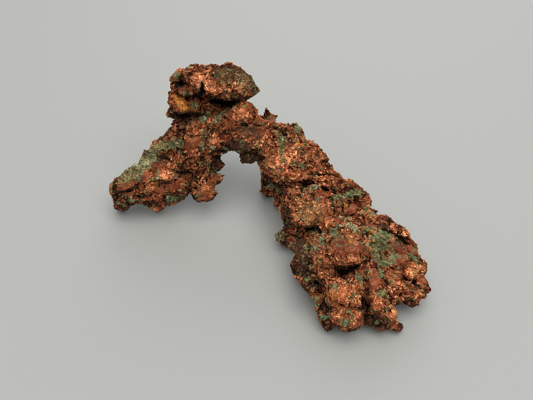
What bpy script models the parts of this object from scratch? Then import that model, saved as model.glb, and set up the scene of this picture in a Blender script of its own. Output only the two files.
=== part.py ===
"""Native copper nugget: one bent, hackly mass of metal that stands on worn feet.

The nugget is a single piece. A leg and a broad arm meet in a raised bridge, and a
capped knob stands over the bridge. Its masses are set out as they are seen from a
viewing point in front of and above it: so far across and up the picture, at such a
height above the table. They are fused into one skin. Plates, ledges and spikes are
then laid on that skin where the sight lines meet it, pits and clefts are cut into
it, and the feet are cut level where they stand.
"""

import math
import random
from collections import namedtuple

import bmesh
import bpy
from mathutils import Matrix, Vector, noise
from mathutils.bvhtree import BVHTree

MM = 0.001

# Driving dimensions, in millimetres and degrees.
VIEW_TILT = 45.0
VIEW_DISTANCE = 240.0
FUSING_GRID = 0.7
FINE_BALL_FROM = 5.0
TRIANGLES = 9600
BROAD_SWELL, BROAD_SWELL_SPAN = 0.6, 7.5
HACKLE, HACKLE_SPAN = 0.6, 2.8
BACK_LUMPS = 140
BACK_LUMP_SIZES = (1.8, 4.0)
BACK_PITS = 60
BACK_PIT_SIZES = (1.2, 3.0)
BACK_THICKNESS, BACK_RAGGED = 0.65, 0.25
BACK_SINK = 0.8
BACK_LEAST_HEIGHT, BACK_MOST_TURN = 1.5, -0.3
COPPER_COLOUR = (0.50, 0.185, 0.085, 1.0)

# A face direction is (turn from the viewer towards the right, height above level).
TO_VIEWER = (0.0, 45.0)
UPWARD = (0.0, 90.0)

# across, up and height place a mass's middle; wide, tall and deep are its half sizes,
# deep being along the way it faces; spin turns it about that direction; ragged is how
# far its rim wanders, as a share of its size; curl is how far its rim hangs back.
Mass = namedtuple(
    "Mass",
    "name across up height wide tall deep face spin ragged curl",
    defaults=(TO_VIEWER, 0.0, 0.12, 0.0),
)

LEG = (
    Mass("leg_toe", -47.9, 2.4, 7.5, 3.7, 5.5, 5.0, spin=-8.0),
    Mass("leg_foot", -48.2, -1.7, 1.7, 2.4, 2.1, 3.0),
    Mass("leg_lower", -42.5, 5.2, 9.5, 8.2, 6.6, 6.5, spin=35.0),
    Mass("leg_middle", -34.6, 8.8, 13.0, 9.2, 8.0, 7.5, spin=38.0),
    Mass("leg_upper", -26.8, 15.0, 18.0, 8.6, 8.8, 8.0, spin=42.0),
    Mass("leg_crest_low", -43.4, 9.2, 12.0, 4.2, 2.1, 4.0, spin=32.0),
    Mass("leg_crest_middle", -38.4, 14.0, 16.5, 3.6, 2.9, 4.5, spin=45.0),
    Mass("leg_crest_high", -34.0, 17.6, 20.5, 4.0, 2.3, 4.5, spin=28.0),
    Mass("leg_crest_top", -29.6, 23.2, 24.0, 4.6, 2.6, 5.0, spin=42.0),
    Mass("leg_under_lump", -36.6, -0.8, 4.5, 3.2, 2.7, 4.0),
    Mass("leg_under_back", -31.0, 1.6, 6.5, 4.6, 2.8, 4.0, spin=24.0),
    Mass("leg_flap", -20.6, 3.9, 10.5, 4.4, 4.2, 2.4, (15.0, 40.0), 20.0, 0.2),
    Mass("leg_flap_root", -23.0, 7.0, 12.0, 4.0, 4.0, 4.0),
    Mass("leg_flap_spur", -16.2, 7.0, 12.0, 2.3, 1.0, 1.2, spin=35.0),
    Mass("leg_inner_lobe", -17.4, 11.8, 15.5, 2.9, 2.2, 4.0, spin=-15.0),
)

KNOB = (
    Mass("neck", -18.5, 31.0, 29.5, 8.6, 5.0, 6.0),
    Mass("neck_left", -26.0, 28.0, 27.0, 5.6, 4.2, 6.0),
    Mass("knob_back", -24.0, 37.0, 35.0, 6.6, 5.4, 4.5),
    Mass("knob_stem", -14.4, 36.4, 35.5, 7.0, 5.0, 5.2),
    Mass("cap", -12.8, 39.5, 42.0, 8.8, 4.5, 5.0, (10.0, 60.0), -15.0, 0.1),
    Mass("cap_crest", -13.0, 42.4, 43.5, 5.6, 2.3, 3.4, spin=-6.0),
    Mass("cap_brow", -7.8, 38.9, 41.0, 4.0, 3.1, 3.4, spin=-48.0),
    Mass("cap_tip", -4.8, 36.9, 39.5, 2.1, 1.3, 2.2),
    Mass("cap_rim", -12.6, 35.9, 40.0, 6.0, 1.5, 2.4, spin=-8.0, ragged=0.2),
    Mass("cap_left_lobe", -23.1, 41.1, 43.0, 3.4, 4.0, 4.0),
    Mass("cap_left_drip", -22.9, 37.3, 42.5, 1.3, 1.5, 2.2),
    Mass("cap_plate", -18.4, 37.2, 42.5, 2.9, 2.0, 1.8, spin=-42.0, ragged=0.2),
    Mass("cap_far_lobe", -29.6, 40.6, 40.0, 2.7, 2.8, 3.6, spin=30.0),
    Mass("cap_left_ledge", -29.2, 35.9, 37.5, 3.6, 1.3, 4.0, spin=5.0),
    Mass("orange_plate", -29.2, 32.0, 35.5, 3.8, 2.1, 1.7, (-10.0, 35.0), -25.0, 0.2),
    Mass("neck_dark_lobe", -30.9, 28.7, 29.5, 2.7, 1.9, 4.0, spin=-30.0),
    Mass("neck_bump", -7.6, 29.2, 33.0, 3.6, 3.6, 4.5),
    Mass("neck_bump_side", -4.6, 29.4, 31.5, 1.6, 2.4, 4.0),
)

BRIDGE = (
    Mass("junction", -19.4, 22.6, 25.5, 9.6, 6.6, 8.0),
    Mass("bridge_top", -10.0, 24.6, 28.0, 6.5, 3.8, 5.0),
    Mass("bridge", -7.0, 20.6, 26.0, 10.0, 4.6, 5.5, spin=-6.0),
    Mass("bridge_brace", -4.4, 15.6, 21.5, 3.6, 2.6, 4.5),
    Mass("bridge_under_lobe", -5.6, 13.6, 19.0, 3.0, 1.2, 3.5, spin=5.0),
    Mass("bridge_back", 0.0, 24.4, 26.5, 7.0, 2.2, 6.0, spin=-12.0),
    Mass("spike_tall", -0.4, 28.3, 28.0, 1.4, 2.8, 1.5, spin=8.0),
    Mass("spike_short", 1.8, 27.4, 27.5, 1.7, 1.2, 1.5, spin=-35.0),
    Mass("bridge_green_corner", 9.2, 22.6, 22.5, 2.4, 2.7, 5.0, spin=-35.0),
    Mass("bridge_to_shoulder", 6.0, 20.4, 24.0, 6.6, 4.4, 6.5, spin=-20.0),
)

SHOULDER = (
    Mass("shoulder", 8.2, 12.6, 19.5, 9.2, 8.0, 8.5),
    Mass("shoulder_inner", 3.0, 12.4, 19.5, 4.4, 5.4, 7.0),
    Mass("shoulder_outer", 13.4, 12.4, 16.5, 5.6, 6.0, 7.5, spin=-42.0),
    Mass("shoulder_strata", 18.2, 7.0, 13.5, 6.0, 2.8, 6.5, spin=-30.0),
    Mass("inner_shank", 1.6, 7.0, 9.5, 3.2, 5.0, 5.5),
    Mass("inner_foot", 0.3, 3.8, 2.4, 2.6, 2.0, 4.6),
    Mass("shank_back", 5.6, 4.2, 6.5, 3.0, 3.6, 4.4),
    Mass("inner_foot_front", 4.0, 0.4, 4.0, 2.0, 2.2, 4.6),
)

ARM = (
    Mass("arm_core", 18.0, 0.6, 11.0, 11.5, 12.0, 8.5, UPWARD),
    Mass("bulge", 14.0, -2.8, 14.5, 7.6, 6.2, 6.0, spin=-20.0, ragged=0.08),
    Mass("arm_left_flank", 9.4, -6.6, 8.0, 4.2, 7.6, 6.0, spin=8.0),
    Mass("arm_flank_back", 14.6, -12.4, 6.0, 4.0, 4.6, 4.8),
    Mass("arm_left_lobe", 5.9, -12.4, 4.5, 2.8, 2.2, 3.6, spin=-25.0),
    Mass("arm_right_lump", 28.0, 0.8, 11.5, 6.4, 4.4, 7.0, spin=-25.0),
    Mass("arm_right_edge", 31.6, -2.0, 10.0, 3.0, 3.4, 5.5),
    Mass("edge_flake", 34.6, -3.9, 10.0, 2.1, 0.8, 2.0, spin=-5.0),
)

FAN = (
    Mass("fan_core", 31.0, -17.5, 9.0, 16.5, 15.5, 7.5, UPWARD),
    Mass("fan_left_flank", 13.8, -20.8, 7.0, 4.2, 6.2, 5.5, spin=14.0),
    Mass("fan_plate", 24.6, -17.0, 15.0, 8.6, 4.4, 3.4, (0.0, 50.0), -2.0, 0.14, 0.5),
    Mass("fan_ridge_start", 37.4, -7.8, 12.0, 5.0, 2.4, 3.6, spin=-12.0),
    Mass("fan_ridge", 44.2, -10.0, 11.5, 4.8, 1.5, 3.0, spin=-30.0, ragged=0.15),
    Mass("fan_ridge_end", 48.6, -14.0, 10.5, 4.2, 1.3, 3.0, spin=-66.0, ragged=0.15),
    Mass("fan_right_core", 44.0, -19.5, 9.0, 6.6, 7.0, 5.0),
    Mass("fan_right_lobe", 48.4, -22.8, 9.5, 4.1, 4.2, 4.2, spin=-20.0, ragged=0.2),
    Mass("fan_right_spur", 51.4, -28.6, 7.0, 2.9, 1.8, 2.4, spin=-35.0, ragged=0.2),
    Mass("fan_right_edge", 49.4, -32.0, 6.0, 3.0, 2.2, 2.6, spin=10.0, ragged=0.2),
    Mass("fan_right_under", 44.0, -28.4, 7.0, 6.6, 4.6, 4.4, spin=6.0),
    Mass("finger_left", 16.2, -31.6, 6.0, 2.6, 9.2, 4.2, spin=26.0),
    Mass("finger_left_toe", 20.0, -40.4, 2.6, 2.2, 3.0, 3.0),
    Mass("finger_middle", 26.0, -33.6, 9.0, 5.4, 8.6, 5.6, spin=6.0),
    Mass("finger_middle_toe", 27.4, -40.4, 3.6, 3.8, 3.2, 3.6),
    Mass("finger_right", 38.6, -33.4, 8.5, 3.6, 6.4, 4.2, spin=28.0),
    Mass("finger_backs", 26.6, -33.0, 4.0, 7.4, 6.6, 3.8, spin=10.0),
    Mass("finger_web", 33.0, -36.0, 4.0, 4.4, 5.4, 3.6),
    Mass("finger_link", 36.8, -40.0, 3.4, 4.8, 2.7, 3.4, spin=-6.0),
    Mass("finger_right_foot", 43.0, -41.3, 2.6, 2.1, 2.0, 2.8),
)

MASSES = LEG + KNOB + BRIDGE + SHOULDER + ARM + FAN

# A mark lies on the skin where its sight line meets it. proud is how far its middle
# stands out; it faces along the skin's normal, partly turned towards the viewer.
Mark = namedtuple(
    "Mark", "name across up proud wide tall deep spin ragged", defaults=(0.0, 0.25)
)

PLATES = (
    Mark("toe_plate", -47.0, 4.2, 0.3, 3.0, 1.4, 1.3, 5.0),
    Mark("toe_lower_plate", -45.2, 0.6, 0.2, 1.8, 1.0, 1.2, 10.0),
    Mark("leg_brown_plate", -40.2, 7.4, 0.2, 2.3, 2.1, 1.2, 0.0),
    Mark("leg_orange_lump", -39.4, 3.6, 0.2, 2.1, 1.8, 1.6, 0.0),
    Mark("leg_red_plate", -35.4, 11.9, 0.3, 2.9, 1.7, 1.3, 15.0),
    Mark("leg_bright_plate", -33.6, 7.6, 0.5, 2.7, 1.7, 1.5, -10.0),
    Mark("leg_low_ledge", -36.4, 0.6, 0.4, 2.4, 1.2, 1.5, 10.0),
    Mark("leg_low_lump", -31.0, 3.4, 0.3, 1.7, 1.3, 1.5, 0.0),
    Mark("leg_middle_ledge", -28.8, 12.0, 0.2, 3.2, 1.3, 1.6, 12.0),
    Mark("leg_inner_ledge", -27.2, 6.2, 0.2, 3.2, 1.1, 1.3, 35.0),
    Mark("leg_red_leaf", -24.2, 19.4, 0.4, 2.3, 2.0, 1.4, -20.0),
    Mark("leg_leaf_tail", -23.4, 15.2, 0.3, 1.5, 1.9, 1.4, 20.0),
    Mark("leg_rim_ledge", -19.6, 13.8, 0.3, 2.0, 1.1, 1.4, 30.0),
    Mark("flap_crest", -20.4, 6.6, 0.3, 2.4, 1.0, 1.2, 25.0),
    Mark("flank_step_low", -44.0, 11.0, 0.2, 2.2, 1.0, 1.4, 20.0),
    Mark("flank_step_middle", -40.2, 15.4, 0.2, 1.8, 1.2, 1.5, 20.0),
    Mark("flank_step_high", -36.2, 19.0, 0.2, 2.0, 1.1, 1.5, 25.0),
    Mark("flank_step_top", -32.6, 22.0, 0.2, 1.8, 1.0, 1.5, 30.0),
    Mark("junction_spur", -23.8, 24.2, 0.5, 1.8, 1.1, 1.8, -40.0),
    Mark("junction_ledge", -17.0, 18.4, 0.3, 3.0, 1.2, 1.5, -8.0),
    Mark("junction_lump", -17.6, 26.0, 0.2, 2.2, 1.4, 1.5, 20.0),
    Mark("cap_stratum_high", -14.0, 41.6, 0.1, 4.6, 0.9, 1.3, -12.0),
    Mark("cap_stratum_low", -11.8, 37.8, 0.2, 5.0, 0.9, 1.5, -16.0),
    Mark("cap_left_shoulder", -24.8, 43.2, 0.2, 1.6, 1.2, 1.4, 20.0),
    Mark("neck_lump", -24.6, 31.2, 0.3, 1.8, 1.3, 1.5, -20.0),
    Mark("neck_ledge", -13.4, 28.2, 0.3, 2.2, 1.3, 1.5, 0.0),
    Mark("bridge_ridge", -7.2, 21.4, 0.2, 3.8, 1.0, 1.5, -5.0),
    Mark("bridge_lump", -4.0, 18.4, 0.3, 2.6, 1.6, 1.6, -10.0),
    Mark("bridge_far_ledge", 4.6, 23.6, 0.2, 3.2, 1.0, 1.5, -5.0),
    Mark("shoulder_left_swell", 3.0, 14.0, 0.2, 2.8, 2.6, 1.6, 0.0),
    Mark("shoulder_swell", 9.6, 14.6, 0.2, 3.4, 2.6, 1.6, -20.0),
    Mark("shoulder_low_swell", 6.4, 9.6, 0.2, 3.0, 2.4, 1.5, 0.0),
    Mark("shoulder_right_ledge", 18.8, 13.0, 0.2, 2.0, 1.0, 1.5, -40.0),
    Mark("stratum_upper", 19.0, 9.4, 0.2, 4.0, 0.8, 1.4, -14.0),
    Mark("stratum_lower", 19.6, 6.9, 0.2, 4.2, 0.8, 1.4, -12.0),
    Mark("shank_ledge", 8.6, 3.0, 0.3, 2.6, 1.1, 1.5, 10.0),
    Mark("waist_rise", 16.0, 3.2, 0.2, 2.8, 1.3, 1.5, 15.0),
    Mark("bulge_left_scallop", 9.0, -5.2, 0.3, 1.7, 1.6, 1.5, 30.0),
    Mark("bulge_low_scallop", 12.4, -7.2, 0.3, 1.8, 1.4, 1.6, 0.0),
    Mark("bulge_right_scallop", 20.2, -7.6, 0.4, 1.8, 1.8, 1.6, -20.0),
    Mark("bulge_crown", 15.6, -4.6, 0.3, 2.8, 2.6, 1.6, 0.0),
    Mark("green_ledge", 27.0, 1.6, 0.3, 4.2, 1.0, 1.5, 10.0),
    Mark("red_rise", 28.6, -2.2, 0.2, 1.5, 2.2, 1.4, 0.0),
    Mark("right_ledge", 32.4, -5.6, 0.2, 4.4, 0.9, 1.5, -25.0),
    Mark("pale_ledge", 28.0, -9.2, 0.3, 3.0, 1.0, 1.4, -20.0),
    Mark("fan_step_left", 16.2, -14.2, 0.2, 2.6, 1.2, 1.5, 35.0),
    Mark("fan_plate_lip", 25.0, -20.6, 0.4, 5.4, 0.9, 1.5, 0.0),
    Mark("fan_plate_left_lip", 18.6, -19.4, 0.3, 3.2, 1.0, 1.5, -35.0),
    Mark("fan_orange_step", 18.6, -24.2, 0.3, 2.4, 1.5, 1.5, -20.0),
    Mark("cavity_sill", 26.4, -27.4, 0.3, 3.6, 1.0, 1.5, 20.0),
    Mark("red_lump", 36.0, -26.0, 0.2, 2.6, 2.2, 1.6, 20.0),
    Mark("right_bright_plate", 47.8, -23.8, 0.4, 2.3, 2.4, 1.5, -15.0),
    Mark("right_stratum_upper", 46.0, -28.6, 0.3, 4.0, 0.8, 1.4, -8.0),
    Mark("right_stratum_lower", 45.0, -31.4, 0.3, 4.2, 0.8, 1.4, -6.0),
    Mark("hollow_rim", 43.6, -16.2, 0.2, 2.2, 1.4, 1.4, -10.0),
    Mark("middle_finger_crown", 25.0, -31.0, 0.3, 2.8, 2.2, 1.6, 0.0),
    Mark("middle_finger_left_lump", 24.6, -38.6, 0.4, 1.7, 1.5, 1.5, 0.0),
    Mark("middle_finger_right_lump", 29.2, -40.4, 0.4, 1.7, 1.7, 1.5, 0.0),
    Mark("left_finger_lump", 19.0, -39.2, 0.3, 1.4, 1.5, 1.4, 0.0),
    Mark("left_finger_ledge", 13.8, -27.0, 0.3, 1.6, 1.2, 1.4, 0.0),
    Mark("right_finger_lump", 42.4, -37.8, 0.4, 1.5, 1.4, 1.6, 0.0),
    Mark("right_finger_crown", 38.6, -34.2, 0.3, 2.4, 1.6, 1.6, 25.0),
)

PITS = (
    Mark("toe_cleft", -42.8, 2.0, -0.3, 0.8, 3.0, 2.4, 5.0),
    Mark("leg_pit", -34.2, 4.2, 0.0, 1.5, 0.9, 2.2),
    Mark("leg_long_cleft", -26.4, 9.2, -0.3, 3.6, 0.9, 2.8, -3.0),
    Mark("leg_side_pit", -30.6, 7.0, 0.0, 0.8, 1.2, 2.0),
    Mark("flank_cleft", -34.0, 14.4, 0.0, 2.8, 0.9, 2.2, 5.0),
    Mark("upper_leg_pit", -27.4, 15.8, 0.0, 2.2, 0.9, 2.2),
    Mark("junction_cleft", -28.2, 21.7, 0.0, 3.8, 0.8, 2.6, -4.0),
    Mark("junction_pit", -21.6, 13.8, 0.0, 1.3, 0.8, 2.0),
    Mark("cap_undercut", -14.6, 32.7, -0.5, 5.0, 1.5, 4.5, -4.0),
    Mark("cap_left_undercut", -23.6, 35.0, -0.5, 3.4, 1.1, 4.0, -12.0),
    Mark("cap_parting", -21.0, 37.4, -0.3, 0.8, 2.2, 3.2, -12.0),
    Mark("cap_far_pit", -28.2, 39.8, -0.3, 1.5, 1.7, 2.6),
    Mark("neck_cleft", -26.6, 28.8, 0.0, 4.2, 0.9, 3.0, -3.0),
    Mark("ledge_notch", -31.2, 37.7, 0.5, 1.6, 0.4, 3.0),
    Mark("bridge_pit", -8.2, 25.2, 0.0, 1.8, 0.8, 1.8),
    Mark("bridge_side_pit", -4.6, 27.0, 0.0, 0.9, 1.1, 2.0),
    Mark("bridge_hollow", -6.0, 15.6, -0.5, 3.0, 1.0, 3.0, 5.0),
    Mark("waist_left_cleft", 12.4, 4.6, -0.3, 2.6, 1.3, 3.4, -25.0),
    Mark("waist_right_cleft", 20.6, 3.5, -0.2, 2.6, 1.0, 3.0, -5.0),
    Mark("strata_cleft", 18.0, 8.2, 0.0, 3.4, 0.6, 2.0, -10.0),
    Mark("bulge_undercut", 16.4, -9.6, -0.4, 3.4, 1.1, 3.4, -3.0),
    Mark("bulge_left_undercut", 11.0, -8.4, 0.0, 1.4, 0.8, 2.4, -20.0),
    Mark("fan_cavity", 25.2, -24.2, -0.8, 4.3, 1.9, 5.0, 6.0),
    Mark("fan_cavity_tail", 31.2, -22.0, 0.0, 2.4, 0.7, 2.6, 32.0),
    Mark("green_hollow", 37.6, -15.6, 1.2, 5.4, 5.0, 2.6, 0.0),
    Mark("ridge_gap", 46.8, -13.6, -0.4, 3.4, 1.2, 3.6, -42.0),
    Mark("right_lobe_cleft", 48.6, -27.6, 0.0, 2.6, 0.6, 2.4, -30.0),
    Mark("right_low_pit", 42.4, -33.4, 0.0, 1.4, 0.8, 2.4),
    Mark("finger_cleft", 32.8, -36.4, -0.5, 0.9, 4.0, 4.0, -4.0),
    Mark("finger_upper_cleft", 32.6, -28.2, 0.0, 0.6, 2.8, 2.2, 28.0),
    Mark("left_finger_cleft", 20.8, -36.6, 0.0, 0.7, 4.0, 2.8, 8.0),
    Mark("left_flank_pit", 16.2, -27.6, 0.0, 1.3, 1.6, 2.2),
    Mark("left_flank_cleft", 12.0, -13.0, 0.0, 0.8, 3.0, 2.2, 10.0),
)


def clear_scene():
    for obj in list(bpy.data.objects):
        bpy.data.objects.remove(obj)


def viewer_axes():
    """The picture's rightward and upward directions, and the one towards the viewer."""
    tilt = math.radians(VIEW_TILT)
    right = Vector((1.0, 0.0, 0.0))
    up = Vector((0.0, math.sin(tilt), math.cos(tilt)))
    return right, up, right.cross(up)


def sight_line(across, up):
    """The viewing point, and the direction from it through a place in the picture."""
    right, upward, towards = viewer_axes()
    eye = VIEW_DISTANCE * towards
    return eye, (across * right + up * upward - eye).normalized()


def at_height(mass):
    """Where the mass's sight line is at its height."""
    eye, direction = sight_line(mass.across, mass.up)
    return eye + (mass.height - eye.z) / direction.z * direction


def facing(turn, height):
    """The axes of a form: its width level, and its third axis the way that it faces."""
    level = Vector((math.sin(turn), -math.cos(turn), 0.0))
    normal = math.cos(height) * level + math.sin(height) * Vector((0.0, 0.0, 1.0))
    side = Vector((math.cos(turn), math.sin(turn), 0.0))
    return Matrix((side, normal.cross(side), normal)).transposed().to_4x4()


def facing_along(normal):
    """The same axes for a face direction given as a vector."""
    turn = math.atan2(normal.x, -normal.y)
    return facing(turn, math.asin(max(-1.0, min(1.0, normal.z))))


def add_form(bm, sizes, placed, ragged, curl, number):
    """A ball drawn out to the half sizes, with a wandering rim that can hang back."""
    wide, tall, deep = sizes
    rounds = 4 if max(sizes) > FINE_BALL_FROM else 3
    for vert in bmesh.ops.create_icosphere(bm, subdivisions=rounds, radius=1.0)["verts"]:
        rim = Vector((vert.co.x, vert.co.y, 0.0))
        wander = 1.0 + ragged * noise.noise(2.2 * rim + Vector((0.0, 0.0, 7.3 * number)))
        hang = curl * deep * rim.length_squared
        x = wide * wander * vert.co.x
        y = tall * wander * vert.co.y
        vert.co = placed @ Vector((x, y, deep * vert.co.z - hang))


def evaluated_copy(obj):
    graph = bpy.context.evaluated_depsgraph_get()
    return bpy.data.meshes.new_from_object(obj.evaluated_get(graph))


def settle(obj):
    """Turns the object's modifiers into its own mesh."""
    mesh = evaluated_copy(obj)
    obj.modifiers.clear()
    old = obj.data
    obj.data = mesh
    bpy.data.meshes.remove(old)


def fuse(obj):
    """Joins the forms in an object into one skin."""
    remesh = obj.modifiers.new("fuse", "REMESH")
    remesh.mode = "VOXEL"
    remesh.voxel_size = FUSING_GRID
    settle(obj)


def new_object(name, bm):
    mesh = bpy.data.meshes.new(name)
    bm.to_mesh(mesh)
    bm.free()
    obj = bpy.data.objects.new(name, mesh)
    bpy.context.scene.collection.objects.link(obj)
    return obj


def fused_masses():
    bm = bmesh.new()
    for number, mass in enumerate(MASSES):
        turn, height = (math.radians(angle) for angle in mass.face)
        spin = Matrix.Rotation(math.radians(mass.spin), 4, "Z")
        placed = Matrix.Translation(at_height(mass)) @ facing(turn, height) @ spin
        sizes = (mass.wide, mass.tall, mass.deep)
        add_form(bm, sizes, placed, mass.ragged, mass.curl, number)
    nugget = new_object("copper_nugget", bm)
    fuse(nugget)
    return nugget


def skin_of(obj):
    bm = bmesh.new()
    bm.from_mesh(obj.data)
    tree = BVHTree.FromBMesh(bm)
    bm.free()
    return tree


def add_marks(bm, marks, skin):
    """Adds each mark's form where its sight line meets the skin."""
    towards = viewer_axes()[2]
    for number, mark in enumerate(marks):
        hit, normal, _, _ = skin.ray_cast(*sight_line(mark.across, mark.up))
        if hit is None:
            continue
        axes = facing_along((normal + towards).normalized())
        spin = Matrix.Rotation(math.radians(mark.spin), 4, "Z")
        placed = Matrix.Translation(hit) @ axes @ spin
        placed = placed @ Matrix.Translation((0.0, 0.0, mark.proud))
        add_form(bm, (mark.wide, mark.tall, mark.deep), placed, mark.ragged, 0.0, number)


def add_back_marks(bm, obj, count, sizes, seed):
    """Scatters flattened forms over the side that the viewer doesn't see."""
    draw = random.Random(seed)
    towards = viewer_axes()[2]
    faces = [
        face
        for face in obj.data.polygons
        if face.normal.dot(towards) < BACK_MOST_TURN and face.center.z > BACK_LEAST_HEIGHT
    ]
    for number in range(count):
        face = draw.choice(faces)
        wide, tall = draw.uniform(*sizes), draw.uniform(*sizes)
        spin = Matrix.Rotation(draw.uniform(0.0, math.pi), 4, "Z")
        middle = face.center - BACK_SINK * face.normal
        placed = Matrix.Translation(middle) @ facing_along(face.normal) @ spin
        deep = BACK_THICKNESS * min(wide, tall)
        add_form(bm, (wide, tall, deep), placed, BACK_RAGGED, 0.0, number)


def lay_plates(nugget):
    """Fuses the plates, ledges and lumps to the skin."""
    bm = bmesh.new()
    add_marks(bm, PLATES, skin_of(nugget))
    add_back_marks(bm, nugget, BACK_LUMPS, BACK_LUMP_SIZES, seed=5)
    bm.from_mesh(nugget.data)
    bm.to_mesh(nugget.data)
    bm.free()
    fuse(nugget)


def cut_pits(nugget):
    """Cuts the pits and clefts out of the skin."""
    bm = bmesh.new()
    add_marks(bm, PITS, skin_of(nugget))
    add_back_marks(bm, nugget, BACK_PITS, BACK_PIT_SIZES, seed=8)
    pits = new_object("pits", bm)
    fuse(pits)
    cut = nugget.modifiers.new("cut", "BOOLEAN")
    cut.operation = "DIFFERENCE"
    cut.object = pits
    settle(nugget)
    bpy.data.objects.remove(pits)
    fuse(nugget)


def roughen(nugget):
    """Broad swellings and sharp hackly ridges, pushed out and in along the skin's normals."""
    mesh = nugget.data
    normals = [Vector(n.vector) for n in mesh.vertex_normals]
    for vert, normal in zip(mesh.vertices, normals):
        swell = noise.noise(vert.co / BROAD_SWELL_SPAN)
        ridge = 0.5 - abs(noise.noise(vert.co / HACKLE_SPAN)) * 2.0
        vert.co += normal * (BROAD_SWELL * swell + HACKLE * ridge)


def thin(nugget):
    """Fewer triangles, kept where the skin bends most."""
    triangulate = nugget.modifiers.new("triangulate", "TRIANGULATE")
    triangulate.min_vertices = 4
    settle(nugget)
    fewer = nugget.modifiers.new("thin", "DECIMATE")
    fewer.ratio = TRIANGLES / len(nugget.data.polygons)
    settle(nugget)


def drop_loose_flecks(bm):
    """Keeps the largest body, and deletes any fleck that a cut has parted from it."""
    left = set(bm.verts)
    bodies = []
    while left:
        body = {left.pop()}
        rim = set(body)
        while rim:
            rim = {edge.other_vert(vert) for vert in rim for edge in vert.link_edges} - body
            body |= rim
        left -= body
        bodies.append(body)
    bodies.sort(key=len)
    flecks = [vert for body in bodies[:-1] for vert in body]
    bmesh.ops.delete(bm, geom=flecks, context="VERTS")


def stand_on_table(nugget):
    """Cuts the feet level with the table, and scales the mesh to metres."""
    bm = bmesh.new()
    bm.from_mesh(nugget.data)
    everything = bm.verts[:] + bm.edges[:] + bm.faces[:]
    cut = bmesh.ops.bisect_plane(
        bm,
        geom=everything,
        plane_co=(0.0, 0.0, 0.0),
        plane_no=(0.0, 0.0, 1.0),
        clear_inner=True,
    )
    soles = [edge for edge in cut["geom_cut"] if isinstance(edge, bmesh.types.BMEdge)]
    bmesh.ops.holes_fill(bm, edges=soles, sides=0)
    bmesh.ops.triangulate(bm, faces=bm.faces[:])
    drop_loose_flecks(bm)
    bmesh.ops.recalc_face_normals(bm, faces=bm.faces[:])
    xs = [vert.co.x for vert in bm.verts]
    ys = [vert.co.y for vert in bm.verts]
    middle = Vector(((min(xs) + max(xs)) / 2.0, (min(ys) + max(ys)) / 2.0, 0.0))
    bmesh.ops.translate(bm, vec=-middle, verts=bm.verts[:])
    bmesh.ops.scale(bm, vec=(MM, MM, MM), verts=bm.verts[:])
    bm.to_mesh(nugget.data)
    bm.free()
    print("middle of the box, in millimetres from the sight lines' origin:", middle)


def copper():
    material = bpy.data.materials.new("native_copper")
    material.use_nodes = True
    shader = material.node_tree.nodes["Principled BSDF"]
    shader.inputs["Base Color"].default_value = COPPER_COLOUR
    shader.inputs["Metallic"].default_value = 0.9
    shader.inputs["Roughness"].default_value = 0.42
    return material


def main():
    clear_scene()
    nugget = fused_masses()
    lay_plates(nugget)
    cut_pits(nugget)
    roughen(nugget)
    thin(nugget)
    stand_on_table(nugget)
    nugget.data.materials.append(copper())
    nugget.data.shade_smooth()


main()
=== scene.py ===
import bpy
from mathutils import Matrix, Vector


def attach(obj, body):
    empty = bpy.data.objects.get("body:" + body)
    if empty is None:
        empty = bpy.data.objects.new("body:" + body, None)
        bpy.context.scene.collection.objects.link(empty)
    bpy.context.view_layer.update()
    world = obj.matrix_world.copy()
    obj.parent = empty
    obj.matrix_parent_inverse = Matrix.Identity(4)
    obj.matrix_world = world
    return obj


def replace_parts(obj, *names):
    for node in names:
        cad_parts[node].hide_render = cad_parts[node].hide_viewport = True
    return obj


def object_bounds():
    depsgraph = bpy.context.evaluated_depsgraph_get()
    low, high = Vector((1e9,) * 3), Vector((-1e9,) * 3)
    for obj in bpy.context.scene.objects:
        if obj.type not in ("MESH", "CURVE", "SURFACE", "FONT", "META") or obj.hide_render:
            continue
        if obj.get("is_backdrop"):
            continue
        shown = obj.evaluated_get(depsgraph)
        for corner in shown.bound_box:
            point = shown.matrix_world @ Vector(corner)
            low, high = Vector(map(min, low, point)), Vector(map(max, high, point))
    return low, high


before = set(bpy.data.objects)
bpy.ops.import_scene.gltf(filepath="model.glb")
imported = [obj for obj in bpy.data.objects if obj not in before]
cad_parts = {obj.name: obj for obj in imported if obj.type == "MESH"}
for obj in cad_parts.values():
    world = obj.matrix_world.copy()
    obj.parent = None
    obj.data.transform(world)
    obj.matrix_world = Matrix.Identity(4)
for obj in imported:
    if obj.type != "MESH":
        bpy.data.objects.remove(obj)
cad_low, cad_high = (tuple(corner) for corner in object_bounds())

import math

import bpy
import numpy as np
from mathutils import Vector

# Everything up to the last step is worked out in millimetres, in the frame's own directions.
NODE = "copper_nugget"
BODY = "root"
MILLIMETRE = 0.001

# The sight lines of the picture: where they meet the table, how steeply they look down, and from how far
SIGHT_FOOT = np.array([1.6421, 18.9579, 0.0])
SIGHT_TILT = math.radians(45.0)
SIGHT_DISTANCE = 240.0
RIGHT = np.array([1.0, 0.0, 0.0])
UP = np.array([0.0, math.sin(SIGHT_TILT), math.cos(SIGHT_TILT)])
TOWARDS = np.cross(RIGHT, UP)

# The picture: its dots across, and its dots to a millimetre at the sight distance
PICTURE_WIDTH = 533
DOTS_PER_MILLIMETRE = 3.0

# The grids that the skin is drawn on, and the shares of its points that carry a grain, a hackle or a flake
FIRST_GRID = 0.45
FUSING_GRID = 0.30
SKIN_GRID = 0.21
GRAIN_SHARE = 0.09
HACKLE_SHARE = 0.15
FLAKE_SHARE = 0.024

# About how many faces a piece of the skin has
PIECE_FACES = 150000

# The distance between the lumps along the rim, and the ends of the cone that trims to the rim, from the eye
BEAD_STEP = 0.9
CONE_ENDS = (150.0, 330.0)

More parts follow.
